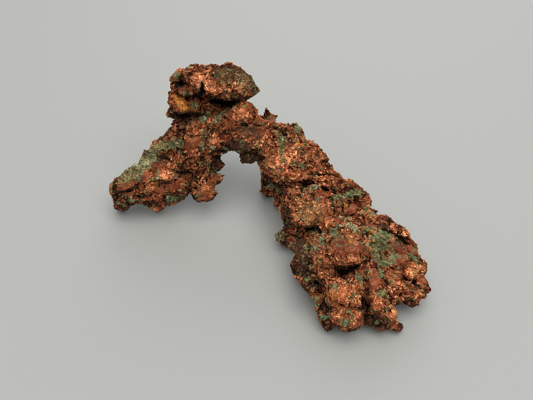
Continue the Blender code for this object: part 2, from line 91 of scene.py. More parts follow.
# How far a blade or flake may reach over the rim, and how far inside its box the nugget stays
OVER_RIM = 0.4
BOX_MARGIN = 0.02

# The rim as it is seen along the sight lines, going round with the nugget on its left from the knob's lower
# left: across and up, in millimetres
RIM = {
    "leg": (
        (-31, 27), (-32.2, 24), (-34.2, 21.5), (-37.5, 19.8), (-38.2, 18.6), (-39, 16.7), (-40.8, 16.6),
        (-41.6, 15.2), (-42.6, 12.2), (-44.2, 12.1), (-46.5, 10.3), (-49.5, 7.6), (-50.8, 7.4), (-52.2, 4),
        (-51.2, 0), (-50.5, -3), (-50, -3.7), (-47, -3.8), (-46, -3.2), (-45.5, -1.4), (-43.5, -1),
        (-41, -1.5), (-38, -2.7), (-36.5, -4.1), (-34, -2.7), (-30, -1), (-27, 1.2), (-25.5, 1.8),
        (-24, 0), (-22.5, -1), (-20, -1), (-18, 0), (-16, 2.4), (-17.5, 3.3), (-17.3, 5.1), (-15.3, 5.9),
        (-14.2, 8.3), (-17.5, 8.8), (-15.7, 10.2), (-13.9, 11.6), (-15.6, 14), (-15.3, 15),
    ),
    "arch": (
        (-13.5, 15.9), (-10.3, 16.2), (-9.2, 15.2), (-8.3, 12.2), (-2.8, 12.9), (-1.9, 10.5), (-2.1, 4),
        (-2.6, 2.8), (-1.8, 1.9), (0, 1.2), (2.6, 1.3), (2.8, -0.5), (2, -1.4), (2.4, -2), (4.4, -1.8),
    ),
    "arm": (
        (4.4, -3), (5.2, -6.8), (5.9, -9.2), (3, -11.3), (2.8, -12.5), (3.5, -14), (6.5, -15), (10, -18),
        (9, -20), (7.8, -21.9), (8.7, -24.3), (11, -27.8), (13.3, -30), (16.2, -34), (17.3, -39.5),
        (19.2, -42.8), (20.3, -44),
    ),
    "fingers": (
        (22.5, -42.4), (23, -41.2), (25, -43), (28, -44.2), (30, -43), (32, -41.2), (33.5, -42),
        (38, -43.5), (41.5, -43), (44.5, -44), (45.9, -42), (45.2, -40.8), (43.2, -40), (43.8, -38),
        (42.5, -36), (41.5, -34.3),
    ),
    "right": (
        (43, -35), (45.5, -34), (48.7, -35.9), (51, -34.8), (51.2, -33.2), (52.5, -33), (54.9, -30.2),
        (53.7, -27.6), (52.3, -25.2), (53.4, -24), (53.4, -20.8), (50.4, -17.8), (50.1, -14.8),
        (47.5, -11), (46, -9), (43, -7.8), (40.3, -4.8), (36, -5), (37.2, -3.4), (34.2, -2.9), (35.2, -1),
        (34.4, 1.6), (31.8, 4), (28.5, 6.5), (25.1, 6.8), (24.1, 8.7), (22.1, 10.4), (22.1, 11.6),
        (20.9, 11.8), (20.8, 13), (19.7, 15.6), (17.6, 17.8), (15.5, 19.8), (13.1, 19.9), (12, 23.3),
        (10, 25.8), (6.2, 25.4), (4.8, 25.9), (3, 26), (3.6, 28), (1.2, 29), (0, 31), (-0.8, 29.4),
        (-2.6, 28.2), (-3.3, 28.4),
    ),
    "knob": (
        (-3, 30), (-4, 31.8), (-6.8, 32.8), (-7, 33.4), (-4.2, 34.9), (-2.3, 36.4), (-3.7, 38.6),
        (-5.2, 41.2), (-7.5, 43.4), (-10.2, 45), (-13, 45.8), (-15.8, 44.8), (-17.5, 45.4), (-20.6, 44.7),
        (-24, 45.4), (-25.3, 45), (-26, 43.8), (-29.2, 43.5), (-32, 41.2), (-32.5, 40), (-31.8, 38),
        (-30.9, 37.4), (-32, 37.2), (-32.9, 36), (-33, 32.6), (-32, 31.3), (-33.4, 28.3),
    ),
}

# Gaps, pressed in and coloured with painted shade: the line that each follows across the picture, how wide it
# is and how deep it goes
GAPS = (
    ("under the cap", ((-19, 33), (-16.8, 32.8), (-14, 32.3), (-10.6, 32.3), (-9, 32.8)), 2.5, 4.2),
    ("under the cap, low", ((-15.6, 31), (-13.6, 31.4), (-11.4, 31.2)), 1.2, 1.8),
    ("left of the tongue", ((-25.4, 34), (-24, 34.3), (-22.4, 35.2), (-21.5, 37), (-21.3, 39)), 2.5, 3.6),
    ("beside the tongue", ((-21.8, 39.4), (-21.2, 37), (-20.4, 35.2)), 1.7, 3.2),
    ("far lobe", ((-30.6, 38.2), (-28.4, 38.3), (-26.8, 39.8)), 2.8, 2.2),
    ("neck", ((-31, 28.6), (-27, 28), (-23, 28.4), (-21.8, 30.5)), 1.1, 1.3),
    ("under the bump", ((-8.6, 25.4), (-6.4, 24.6)), 1.4, 1.6),
    ("leg and knob", ((-31.5, 21.5), (-29, 21.3), (-27.4, 21)), 0.9, 1.2),
    ("flank", ((-36.5, 14.4), (-34, 13.9), (-32, 13.2), (-31.6, 12.4)), 1, 1.4),
    ("flank, upper", ((-35.5, 16.6), (-33.4, 16.2)), 0.8, 1),
    ("leg", ((-30.6, 9.4), (-28, 9.2), (-25.6, 9), (-23.4, 7.6)), 1.1, 1.6),
    ("leg, branch", ((-25.6, 11), (-24.6, 9.6)), 0.8, 1.2),
    ("beside the stem", ((-22.2, 14.4), (-20.4, 14.3)), 1, 1.4),
    ("left of the leaf", ((-26.6, 15.6), (-26.2, 14)), 0.9, 1.2),
    ("leg hole", ((-34.3, 4.1), (-33.6, 4)), 1.2, 1.6),
    ("leg hole, small", ((-36.2, 4.9), (-35.4, 4.5)), 0.9, 1.2),
    ("under the toe plate", ((-49, 2.2), (-46.5, 2.9), (-43.6, 4), (-42.2, 5.2)), 0.9, 1.3),
    ("toe hole", ((-42.9, 1.5), (-42.2, 1)), 1.2, 1.4),
    ("toe hole, low", ((-47, -0.4), (-45.9, -1.4)), 1, 1.2),
    ("toe's end", ((-50.4, 3.4), (-50.2, 1.2)), 0.9, 1),
    ("beside the bright plate", ((-30.2, 6.6), (-31, 5.9)), 0.9, 1.2),
    ("bridge's foot", ((-16.8, 16.2), (-15, 16.6), (-13.4, 16.4)), 1.2, 1.6),
    ("shoulder, right", ((18.3, 13.1), (19.1, 12.9)), 0.7, 0.9),
    ("shoulder, left", ((2.9, 10.7), (3.6, 10.5)), 0.7, 0.8),
    ("shoulder, middle", ((8.9, 13.9), (9.6, 13.8)), 0.6, 0.7),
    ("shoulder, upper", ((13.5, 14.9), (13.9, 14.5)), 0.6, 0.6),
    ("waist, left", ((6, 4.5), (8, 4.4), (10.4, 3.9)), 0.9, 1.2),
    ("waist, first", ((10.2, 6.3), (11.6, 6.2)), 1.5, 2),
    ("waist, second", ((11.6, 5.2), (14, 5.2), (16.4, 5.9)), 1.9, 2.6),
    ("waist, third", ((10.8, 3.9), (12.4, 2.9)), 2.2, 2.6),
    ("waist, fourth", ((17.8, 4.6), (19.8, 3.2), (21.2, 3.2)), 1.9, 2.4),
    ("waist, fifth", ((21.4, 5), (22.4, 3), (23.2, 2.4)), 1.7, 2.2),
    ("layer line", ((13.6, 8.6), (17, 8.3), (20.6, 8.5), (23.6, 8)), 0.7, 1),
    ("layer line, lower", ((16, 6.2), (19, 6), (21.5, 6.2)), 0.6, 0.8),
    ("under the bulge", ((12.8, -9.4), (14.2, -9.9), (16, -9.5), (17.4, -9.6)), 1.2, 1.8),
    ("bulge, left", ((10.4, -6.9), (12.4, -7.4)), 0.7, 1),
    ("bulge, middle", ((13.6, -4.6), (14.5, -4.4)), 0.7, 0.8),
    ("bulge, right", ((21.6, -8.3), (22.6, -9.4)), 0.9, 1.2),
    ("bulge, upper right", ((21.6, -4.1), (23, -4)), 0.6, 0.8),
    ("fan cavity", ((22.8, -23.4), (25, -24.2), (27.6, -23.4), (30.4, -22.4)), 3, 4),
    ("fan cavity, tail", ((30.4, -22.3), (32.2, -21.4), (34, -19.6)), 0.9, 1.4),
    ("fan cavity, foot", ((24.4, -25.4), (25.8, -25.9), (27.2, -25.2)), 2.6, 3.6),
    ("pocket", ((15.6, -26.8), (17, -28.4)), 2, 2.4),
    ("between the fingers", ((31.6, -32.6), (32.8, -34.6), (34, -37.4)), 2.5, 3.6),
    ("above the fingers", ((32.9, -28.8), (33.6, -30.2), (34.4, -31)), 0.7, 1.2),
    ("lip of the lobe", ((28.6, -35.2), (30.4, -35.9), (31.6, -36.6)), 0.7, 1),
    ("left of the lobe", ((20.4, -35.6), (21.4, -36.6)), 1.2, 1.6),
    ("right lobes", ((45.4, -25.8), (47.4, -26.8), (49.2, -27.6), (51.2, -29.2)), 1.6, 2.6),
    ("under the ridge", ((42.6, -11.6), (45, -13), (47.4, -14.8)), 1.5, 2),
    ("under the ridge, far", ((38.6, -9.9), (41, -10.4), (43, -11.4)), 0.8, 1.4),
    ("ridge hole", ((44.8, -10.9), (45.3, -11.2)), 0.8, 1.2),
    ("lower fan", ((39.6, -27.2), (41.2, -28.4)), 0.7, 1.2),
    ("last finger's root", ((41.4, -33.2), (42.2, -33.4)), 1, 1.4),
    ("right lobe, low", ((45.8, -30.6), (46.8, -31.4)), 0.7, 1),
    ("pool's right rim", ((44, -17.4), (43, -17.9)), 0.8, 1),
    ("upper rib", ((33, -6.2), (35.4, -7.2)), 0.6, 0.9),
    ("beside the ochre", ((26.4, -2.9), (27, -2.8)), 0.6, 0.8),
)

# Ledges: the edge of each across the picture, with the raised side on the left of its direction, how far
# the edge stands towards the eye, and over what distance it dies away
LEDGES = (
    ("bulge, foot",
     ((11.5, -8.4), (13, -8.9), (14.4, -9.2), (16, -8.6), (18, -8.8), (19.8, -9.8), (21, -9.4)), 1.7, 4),
    ("bulge, left", ((7, 2), (6.6, -1), (8, -4), (9, -7), (11.2, -8.4)), 0.9, 3),
    ("fan slab, foot",
     ((17, -22.2), (20, -22.4), (22, -22.3), (24.4, -22),
      (28, -21.8), (30.6, -21.6), (33, -19.6), (34.6, -17.5)), 1.8, 5),
    ("lobe, head",
     ((31.5, -31), (30.4, -28), (28.8, -25.7), (27, -26.4), (24.6, -26.9), (22, -26.2)), 0.9, 3.5),
    ("lobe, lip", ((26.5, -35.2), (28.6, -34.8), (30.4, -35.4), (31.6, -36)), 0.8, 2.5),
    ("cap, left foot", ((-26.4, 36.6), (-24.6, 36.4), (-22.5, 37.2), (-22, 39.2)), 1, 2.4),
    ("cap, foot",
     ((-20.6, 34.5), (-17.4, 34.3), (-15, 34.1), (-12, 33.9), (-9, 33.6), (-6, 34), (-4, 35)), 1.5, 4),
    ("tongue", ((-20.8, 40), (-20.6, 37.5), (-20.4, 35.2)), 1, 2.5),
    ("left plate", ((-32.6, 31.4), (-30, 29.8), (-27.4, 28.9), (-26.2, 30.6)), 1.3, 3),
    ("left ledge", ((-33, 35.2), (-30, 35), (-27.6, 34.2), (-25.4, 34.2)), 0.9, 2),
    ("granular bump", ((-10.2, 32.5), (-10.4, 29.5), (-9.2, 26.6), (-6.4, 25.8), (-4.6, 26.4)), 1, 3),
    ("flap", ((-24.4, 6.8), (-25, 4), (-24, 1.6)), 0.9, 3),
    ("leaf, left", ((-26.8, 20.8), (-27, 18.4), (-26, 16.2)), 0.8, 2),
    ("leaf, right", ((-22.6, 16.8), (-22.2, 19), (-22.4, 21)), 0.7, 2),
    ("toe plate", ((-49.8, 2.9), (-47, 3.1), (-44, 4.3), (-42.8, 5.6)), 0.8, 2.5),
    ("red plate of the leg", ((-32.6, 13), (-35, 14), (-37.6, 13.2)), 0.7, 2.5),
    ("bright plate of the leg", ((-36, 5.8), (-33.5, 5.6), (-31, 5.9), (-29.6, 7)), 0.9, 2.5),
    ("leg cleft", ((-24, 8.2), (-27, 8.4), (-30.4, 8.8)), 0.6, 2),
    ("shoulder layers", ((3.4, 5.2), (6, 5), (9, 5.2), (10.6, 6.9), (13, 7)), 0.9, 2.5),
    ("shoulder layers, right", ((13.5, 9.2), (17, 9), (20.6, 9.1), (24, 8.6)), 0.8, 2),
    ("shoulder layers, low", ((14.4, 6.6), (18, 6.5), (22, 6.7)), 0.7, 1.6),
    ("right ridge",
     ((38.4, -9.5), (41, -9.9), (43, -10.8), (45.4, -11.8), (47.6, -13.2), (49.6, -15.4)), 1.2, 2.5),
    ("red plates of the pool", ((40.2, -13.4), (42, -15.4), (43.4, -17.2), (45.4, -17.4)), 0.8, 2),
    ("right plate",
     ((46.2, -21), (45.6, -23.6), (46.4, -25.6), (48, -26.2), (50.2, -26), (51.4, -27.4)), 1.1, 3),
    ("last finger",
     ((34.6, -31.6), (34.6, -34), (35.2, -36.2), (37.2, -37.4), (38.6, -39.4), (40.6, -41)), 1.1, 3),
    ("blade, first", ((12.4, -12.8), (14.4, -13.9), (16.4, -15.2)), 0.7, 1.3),
    ("blade, second", ((13.4, -11.6), (15.4, -13), (17.4, -14.6)), 0.7, 1.3),
    ("blade, third", ((16, -18.2), (18.4, -20), (20.4, -21.4)), 0.7, 1.4),
    ("blade, fourth", ((17.4, -16.6), (20, -18.6), (22, -20.2)), 0.7, 1.4),
    ("arm ledge", ((22, 0.2), (25, 0.4), (28, 0.9), (31, 2)), 0.7, 1.6),
)

# Finishes: across, up, length, breadth, turn in degrees and strength of each patch. First bright bare copper
BARE = (
    (-23.2, 41.2, 5.4, 2.4, 0, 1), (-22.8, 38, 1.4, 1.4, 0, 0.8), (-25, 39, 2, 2, 0, 0.5),
    (-18.6, 37.7, 5, 1.9, -50, 1), (-13, 36.3, 7, 1.4, -10, 0.7), (-28.6, 31.8, 5.6, 2.4, -48, 0.9),
    (-31.8, 36.8, 2.6, 0.9, 0, 0.5), (-7.8, 29, 4, 4, 0, 0.9), (-12.6, 28.2, 2.6, 1.8, 0, 0.6),
    (-23.8, 22.8, 2.2, 1.8, 0, 0.8), (-23.6, 25, 2.4, 0.8, -40, 0.6), (-17.6, 18.6, 3.4, 4.2, 0, 0.8),
    (-14, 19.6, 3, 1.6, 0, 0.5), (-17, 21.6, 1.6, 1.2, 0, 0.6), (-24, 16.6, 2, 1.4, 0, 0.6),
    (-18.8, 13.9, 1.6, 1.6, 0, 0.8), (-23.6, 13.4, 4.6, 1, 60, 0.7), (-33.4, 8, 5.2, 3, -15, 1),
    (-30.6, 7.6, 1.6, 1.4, 0, 0.8), (-36.8, 5.7, 1.6, 1.2, 0, 0.8), (-39, 3.8, 2.8, 1.8, 20, 0.5),
    (-37.6, 0.9, 3.6, 0.9, 10, 0.6), (-43.7, 2.4, 1.8, 0.8, 30, 0.5), (-21.4, 7, 3.2, 1.4, 10, 0.6),
    (-20.6, 3.9, 2.4, 2.6, 0, 1), (-20.6, 17.6, 3, 4, 0, 0.6), (-7.6, 35.6, 6, 2.2, -10, 0.7),
    (-18.7, 0.7, 1.6, 0.9, 0, 0.6), (-15.6, 7.6, 2.6, 0.9, 40, 0.6), (-6.4, 20.2, 3, 1.4, 0, 0.6),
    (1, 19.4, 1.2, 2.4, 0, 0.8), (3.8, 20.8, 1.8, 1.8, 0, 0.8), (-1, 21.5, 1, 1.2, 0, 0.6),
    (2.6, 18.6, 1.2, 0.8, 0, 0.5), (5.6, 13, 7, 5, 0, 0.9), (0.6, 13, 3, 4, 0, 0.6),
    (8.4, 9.4, 4, 2, -20, 0.4), (9.2, 15.4, 2.6, 1.2, 20, 0.8), (12.6, 8.8, 2.6, 3, 0, 0.7),
    (2.4, 9.6, 2, 2, 0, 0.7), (9.6, 8.4, 8, 3, -5, 0.7), (15.6, 15, 4, 2.6, -30, 0.5),
    (18.7, 13.7, 1.8, 0.8, -10, 1), (13.8, 14.3, 0.8, 0.6, 0, 0.9), (16.4, 10.3, 3.6, 0.9, 0, 0.6),
    (8.2, 21.4, 1.6, 1.6, 0, 0.6), (22.6, 9.2, 3, 1.2, -20, 0.4), (19.6, 4.9, 2.4, 1, 0, 0.7),
    (12.6, 7, 3, 1.2, 0, 0.6), (7.4, 3.2, 3, 1, 0, 0.5), (12, 0.2, 5, 2, 20, 0.6),
    (14, 1.4, 1.4, 0.8, 0, 0.9), (11.3, -2.1, 1.2, 1, 0, 1.2), (13.7, -3.8, 1, 1.2, 0, 1),
    (16.4, -0.9, 1.2, 2.2, 0, 0.7), (9.2, -5.3, 2.2, 1.4, -30, 1), (10.6, -6.3, 1.4, 0.9, 0, 0.8),
    (9, -7.6, 1.6, 1, 0, 0.6), (13.5, -7.9, 2.4, 0.8, 35, 1), (13.7, -5.5, 0.8, 1.2, 0, 0.7),
    (20.2, -7, 0.9, 4.4, 0, 0.9), (18.4, -7, 1, 1.2, 0, 0.6), (16.2, -8.2, 0.8, 1.6, 0, 0.6),
    (11.8, -9.8, 1.6, 1, -30, 0.7), (20.5, -1.4, 1, 1.4, 0, 0.6), (15.2, -14.6, 2.4, 0.8, -40, 1),
    (13.6, -12.8, 2, 0.7, -30, 0.7), (28.2, -19.6, 3.6, 2.6, 0, 0.7), (32.2, -18.8, 1.2, 1.2, 0, 0.7),
    (27.6, -21.2, 2, 1, 0, 0.6), (18.6, -18.8, 2.8, 1.2, -35, 0.9), (19.6, -20.8, 1.4, 0.8, -30, 0.9),
    (30.6, -14.4, 1, 0.6, 0, 0.6), (23, -21.6, 4, 0.8, -5, 0.6), (19, -24.8, 3.6, 2.2, 0, 0.8),
    (18.4, -26.6, 1.6, 1.2, 0, 0.7), (27.8, -28.8, 6, 2.4, 0, 0.6), (27, -31.6, 7.6, 5, 0, 0.8),
    (21, -30.1, 1.2, 1, 0, 1), (25.4, -36.6, 3.2, 3.2, 0, 0.8), (23.6, -38.9, 2.2, 1.6, 0, 1),
    (28.9, -40.6, 2.4, 2.6, 0, 1), (30.2, -34.6, 3.6, 1.4, -20, 0.8), (30.6, -38.2, 2.4, 2, 0, 0.5),
    (14.9, -29.8, 1.2, 1, 0, 0.8), (47.8, -23.6, 3.8, 5, 0, 0.9), (48.8, -24.7, 1.6, 1.4, 0, 1.1),
    (51.2, -22.6, 2.4, 1.8, 0, 1), (51.8, -27, 3, 3, -40, 0.7), (50.4, -25.9, 1.2, 0.7, 0, 0.9),
    (46.4, -11, 2.2, 2, -40, 0.8), (42, -9.1, 1.6, 1.8, -30, 0.8), (40.3, -8, 3.2, 1.2, -35, 0.5),
    (48.4, -13.2, 2.8, 1, -50, 0.6), (44.6, -28.8, 3.6, 2.2, -10, 0.8), (46.4, -31, 3.6, 2.2, 0, 0.6),
    (42.6, -32.6, 3, 1, 0, 0.6), (38, -34.6, 6, 3.6, -30, 0.7), (35.7, -35.6, 1.6, 2, 0, 1),
    (40.2, -33.4, 1.4, 1.2, 0, 1), (42.6, -37.8, 2.2, 2.2, 0, 1.1), (38.4, -38.4, 1.6, 1.4, 0, 0.9),
    (42, -39.6, 1.6, 1, 0, 1), (40.6, -40.4, 1.6, 1.2, -40, 0.8), (43.2, -41.2, 1.2, 0.8, 0, 0.6),
    (36.8, -32.8, 2, 1.2, 0, 0.6),
)
# Calm plates with a dull red skin
RED = (
    (-35.8, 12.4, 6.4, 3.6, 5, 1.1), (-35.2, 3.7, 6, 3.4, 0, 0.9), (-26.4, 8.6, 6, 3.6, 0, 0.9),
    (-35.6, 9.6, 3.4, 2.4, 0, 0.8), (-40.4, 7.6, 3.4, 3.4, 0, 0.8), (-46.8, 4.2, 6, 2.6, 15, 1),
    (-31.4, 4.6, 3.2, 3.4, 0, 0.8), (-24.4, 19.2, 4.2, 4, 0, 1), (-26.2, 18.2, 1.6, 3, 0, 0.8),
    (-36.2, -0.6, 4, 2.6, 0, 0.6), (-25.4, 7.3, 2.2, 2, 0, 0.7), (-21, 2.2, 5, 3.6, 0, 0.6),
    (-12, 25.4, 4.6, 2.6, 0, 0.7), (-4.6, 22.6, 10, 3.6, 0, 0.8), (-8.4, 17.6, 8, 4, 0, 0.6),
    (48.8, -15.4, 5, 5, -40, 1), (18, 2.2, 4.4, 2.4, 0, 0.9), (28.8, -2.6, 2.6, 3.4, 0, 1),
    (24.6, -6.4, 3.4, 3.6, 0, 0.7), (33.4, -7.2, 5.6, 1.8, -20, 0.8), (38, -8.8, 3.4, 1.2, -5, 0.9),
    (43.6, -15.2, 4.6, 3, -40, 1), (30.6, -16, 4.4, 3.6, 0, 0.8), (26.6, -15.6, 10, 6, 0, 0.75),
    (36.2, -26, 4.4, 5, 0, 0.9), (35.8, -28.6, 3.6, 2.4, 0, 0.8), (41, -24.6, 3, 1.6, 0, 0.8),
    (44.6, -18.8, 6, 6.4, -30, 0.8), (43.8, -42, 3.6, 3.2, 0, 0.9), (38.4, -6.4, 3.6, 2, 0, 0.6),
    (24, 5, 4, 2, 0, 0.6), (1.6, 27.4, 3, 2.6, 0, 0.9), (13, -11, 1.2, 1, 0, 0.9),
)
# Green crust
GREEN = (
    (-46.4, 8.6, 8.4, 4.4, 30, 0.7), (-41.8, 11.2, 8, 4.6, 38, 1.1), (-38.6, 14.6, 7, 4.6, 45, 0.8),
    (-35.6, 17.6, 7, 4.4, 25, 0.6), (-30.6, 18.9, 6.2, 3.2, 5, 0.8), (-21.5, 17.8, 1.8, 3.2, 0, 0.9),
    (-21.3, 20.6, 1.4, 2.2, 0, 0.6), (-22.3, 12.2, 1.8, 1.6, 0, 0.7), (-19.2, 11.4, 1.6, 2.2, 0, 0.7),
    (-19, 9.2, 1.8, 1.8, 0, 0.6), (-31.6, 0.3, 4, 2.2, 5, 0.9), (-29, 1, 2.6, 1.6, 0, 0.6),
    (-26.3, 5.6, 1.4, 1.4, 0, 0.5), (-45.2, 0, 2.4, 1.6, 0, 0.8), (-43.6, 7.2, 2.6, 2, 0, 0.8),
    (-27, 35.3, 2.6, 2, 0, 1), (-30, 41.6, 2.4, 2.4, 0, 0.9), (-24.3, 31.6, 2.6, 2.6, 0, 0.9),
    (-21, 27, 2.8, 2.6, 0, 1), (-16.2, 26.9, 3.6, 2.4, 60, 0.9), (-19.6, 29.6, 2, 1.4, 0, 0.6),
    (-14.6, 29.2, 1.6, 1.6, 0, 0.6), (-7.8, 40.2, 4, 4, 0, 0.4), (-1, 25.3, 3, 1.4, 0, 0.7),
    (10.2, 23.8, 3, 3.4, 0, 0.8), (6.6, 25, 2, 1, 0, 0.5), (5, 20.2, 2.8, 2.6, 0, 1),
    (5, 17.6, 1.8, 3, 0, 1), (4.7, 15.4, 1.4, 1.8, 0, 0.9), (10.2, 17.3, 1.4, 1, 0, 0.6),
    (11.3, 11.4, 2.4, 1.8, 0, 0.9), (12.4, 15.3, 1.2, 1, 0, 0.4), (3.9, 3.2, 1.8, 2.2, 0, 0.9),
    (16.3, 4.3, 3, 1.4, 0, 0.9), (13.4, 3.8, 1.6, 1.2, 0, 0.6), (22.6, 4, 1.6, 1.6, 0, 0.5),
    (24, 1.2, 4.6, 1.8, 5, 1), (28.8, 2, 7, 2.6, 10, 1), (33.2, -3.2, 3.2, 1.6, -60, 0.8),
    (35.3, -4.8, 1.6, 1.6, 0, 0.8), (18, -12.2, 3.6, 3.4, 0, 1), (16, -10.8, 3.6, 2.4, 0, 0.8),
    (16.4, -34, 3, 4, 0, 0.6), (18.4, -14.6, 1.8, 2.4, 0, 0.8), (16.2, -16, 2.6, 2.6, 0, 1),
    (13.3, -16.2, 1.6, 3.2, 0, 0.8), (22.2, -10.8, 2.4, 3.6, 0, 0.9), (20.5, -14.8, 1.2, 1.2, 0, 0.5),
    (33.8, -9.6, 4.4, 1.6, -5, 1), (38.2, -12.4, 6.4, 4.8, 0, 1.1), (38.6, -15.8, 6.4, 4.6, 0, 1.1),
    (42.2, -18.6, 3.4, 3.2, 0, 1.1), (40.2, -20.8, 5.4, 3, 0, 1.1), (37, -18.6, 2.8, 4, 0, 1),
    (38.3, -24.8, 1.8, 2.8, 0, 0.8), (43, -25.2, 1.8, 1, 0, 0.6), (42, -28, 1.2, 1.2, 0, 0.5),
    (48.8, -18.9, 3.6, 1.6, -35, 0.8), (46.4, -19.8, 1.6, 1.4, 0, 0.5), (38.2, -31.4, 4.4, 2.2, 0, 0.9),
    (31.2, -26.6, 4.6, 1.8, -60, 0.7), (22.6, -29, 2.6, 1.6, 0, 0.8), (26.3, -40.6, 3.2, 2.8, 0, 1),
    (27, -37.6, 1.8, 2.4, 0, 0.6), (18.9, -39.3, 2.6, 2.2, 0, 0.9), (16.8, -34.6, 1.6, 2.6, 0, 0.7),
    (13.3, -26.8, 2.2, 1.6, 0, 0.8), (15.1, -22.4, 1.2, 1.4, 0, 0.5), (4.5, -12, 3.4, 4, 0, 0.6),
    (7.4, -14.8, 3, 3, 0, 0.6), (12, -19.6, 2, 3, 0, 0.5), (16, -33, 2, 3, 0, 0.5),
    (5.2, 0.6, 1.2, 1.4, 0, 0.6), (37, -40.8, 2, 1.6, 0, 0.6), (40.4, -36, 1.6, 1.2, 0, 0.5),
)
# Bluer specks of crust
TURQUOISE = (
    (-42.4, 7, 1.6, 1.6, 0, 1), (4.8, 9.9, 1.4, 1.4, 0, 0.9), (1.5, 4.6, 1.8, 1.2, 0, 1),
    (-0.2, 6.1, 1.2, 1.6, 0, 0.6), (17.2, 0.2, 1.4, 1.2, 0, 0.9), (19.1, -39.4, 1.4, 1.4, 0, 0.9),
    (36.2, -12.9, 1.4, 2, 0, 0.9), (35.7, -15, 1.2, 1, 0, 0.9), (36.4, -18, 1, 1, 0, 0.6),
    (4.6, -11.6, 0.8, 1.4, 0, 0.8), (14, -2.9, 0.8, 0.8, 0, 0.7), (21.5, -2.4, 0.8, 0.8, 0, 0.6),
    (22.9, -28.6, 1, 0.9, 0, 0.6), (29.8, -25.6, 0.8, 1.4, 0, 0.7), (38.9, -23.2, 1, 0.8, 0, 0.6),
)
# Pale dry crust
PALE = (
    (-43.2, 11.6, 2.4, 1.2, 0, 0.8), (-40.2, 12.2, 2.2, 1.4, 0, 0.7), (-46.8, 10, 2.2, 0.9, 30, 0.5),
    (-47.9, 1.4, 1, 0.8, 0, 0.8), (-45, 0.9, 1, 0.8, 0, 0.8), (-32.9, 0.8, 1, 1, 0, 0.9),
    (-30.2, 18.9, 1.6, 1.2, 0, 0.6), (-36.2, 7.4, 0.9, 1, 0, 1), (-32.7, 11.9, 1, 0.7, 0, 0.9),
    (-28.7, 3.4, 0.8, 0.8, 0, 0.9), (-18.3, 17.5, 1.2, 1.8, 0, 1.1), (-18.9, 19.8, 1.2, 0.8, 0, 1),
    (-21.8, 22.5, 0.8, 0.8, 0, 1), (-21.4, 17.8, 1, 2.2, 0, 0.6), (-23.6, 31.1, 0.9, 1.2, 0, 0.8),
    (24.7, -5.8, 0.7, 0.9, 0, 1.1), (24.9, -8.7, 1.4, 0.8, 0, 0.9), (27.2, -5.7, 1.4, 1, 0, 0.7),
    (27.5, -8.3, 2, 1, 0, 0.8), (28.9, -9, 1.6, 1, 0, 0.9), (29.8, -10.1, 2.2, 1.4, 0, 1.2),
    (26.4, -7, 0.7, 1.6, 0, 0.6), (33.9, -14.8, 1.4, 0.9, 0, 0.9), (16.2, 4.5, 1.8, 0.8, 0, 0.7),
    (5.5, 20.4, 1, 1.2, 0, 0.6), (3.7, 2.9, 1, 1, 0, 0.7), (4.9, 3.4, 0.8, 0.6, 0, 0.8),
    (18, -12.2, 1.6, 2.2, 0, 0.8), (12.9, -15.4, 0.8, 1.8, 0, 0.7), (14.2, -18.4, 0.8, 0.8, 0, 0.9),
    (16.8, -18.1, 0.8, 0.6, 0, 0.8), (15.9, -19.2, 0.6, 0.6, 0, 0.8), (16.2, -15.8, 1.2, 1.2, 0, 0.5),
    (26.5, -40.8, 1.8, 1.6, 0, 0.6), (17, -34.9, 0.6, 0.9, 0, 0.8), (13.4, -26.9, 1, 0.8, 0, 0.7),
    (37.4, -31.4, 1.6, 1, 0, 0.5), (22.8, 4.1, 1.2, 0.7, 0, 0.6), (30, 2.2, 2.2, 1, 10, 0.7),
    (26, 1.2, 1.6, 0.8, 0, 0.5), (15, 3.3, 0.8, 0.6, 0, 0.7), (34.9, -20.3, 0.8, 0.6, 0, 0.7),
    (43.2, -25.2, 0.9, 0.6, 0, 0.6), (37.8, -23.6, 1, 1, 0, 0.5), (-20.6, 27.6, 1.2, 1, 0, 0.7),
    (18.6, -11.2, 1.4, 1, 0, 0.8),
)
# Ochre stains
OCHRE = (
    (-37.4, 3.9, 0.9, 1.2, 0, 1), (-36.7, 5.8, 1.1, 1.3, 0, 0.6), (-43.5, 2.4, 1.8, 1, 0, 0.5),
    (11.4, 18.4, 1.4, 1, 0, 1.1), (10.3, 19.3, 1.6, 0.8, 0, 0.6), (26.2, -1.6, 1, 1.8, 0, 0.9),
    (34.6, -10.8, 1.5, 1.2, 20, 0.9), (35.7, -13.5, 0.7, 1, 0, 0.7), (34.9, -16.6, 0.7, 1.8, 15, 0.8),
    (27.9, -13.6, 1.4, 1.4, 0, 0.6), (15.6, -10.9, 0.8, 0.8, 0, 0.8), (7.2, -13, 0.8, 0.8, 0, 0.9),
    (12.9, -14.9, 0.7, 1, 0, 0.7), (22.6, -31.8, 3, 2.4, 0, 0.6), (-29.8, 33, 1.6, 2.4, 0, 0.5),
    (19.4, -25, 1, 1, 0, 0.6), (8.2, 21.4, 1.6, 1.2, 0, 0.4), (39.5, -18.2, 3.4, 2.6, 0, 0.35),
    (-28.4, 31.9, 7, 3.2, -48, 0.8), (-26.2, 31.6, 2, 2, 0, 0.6),
)
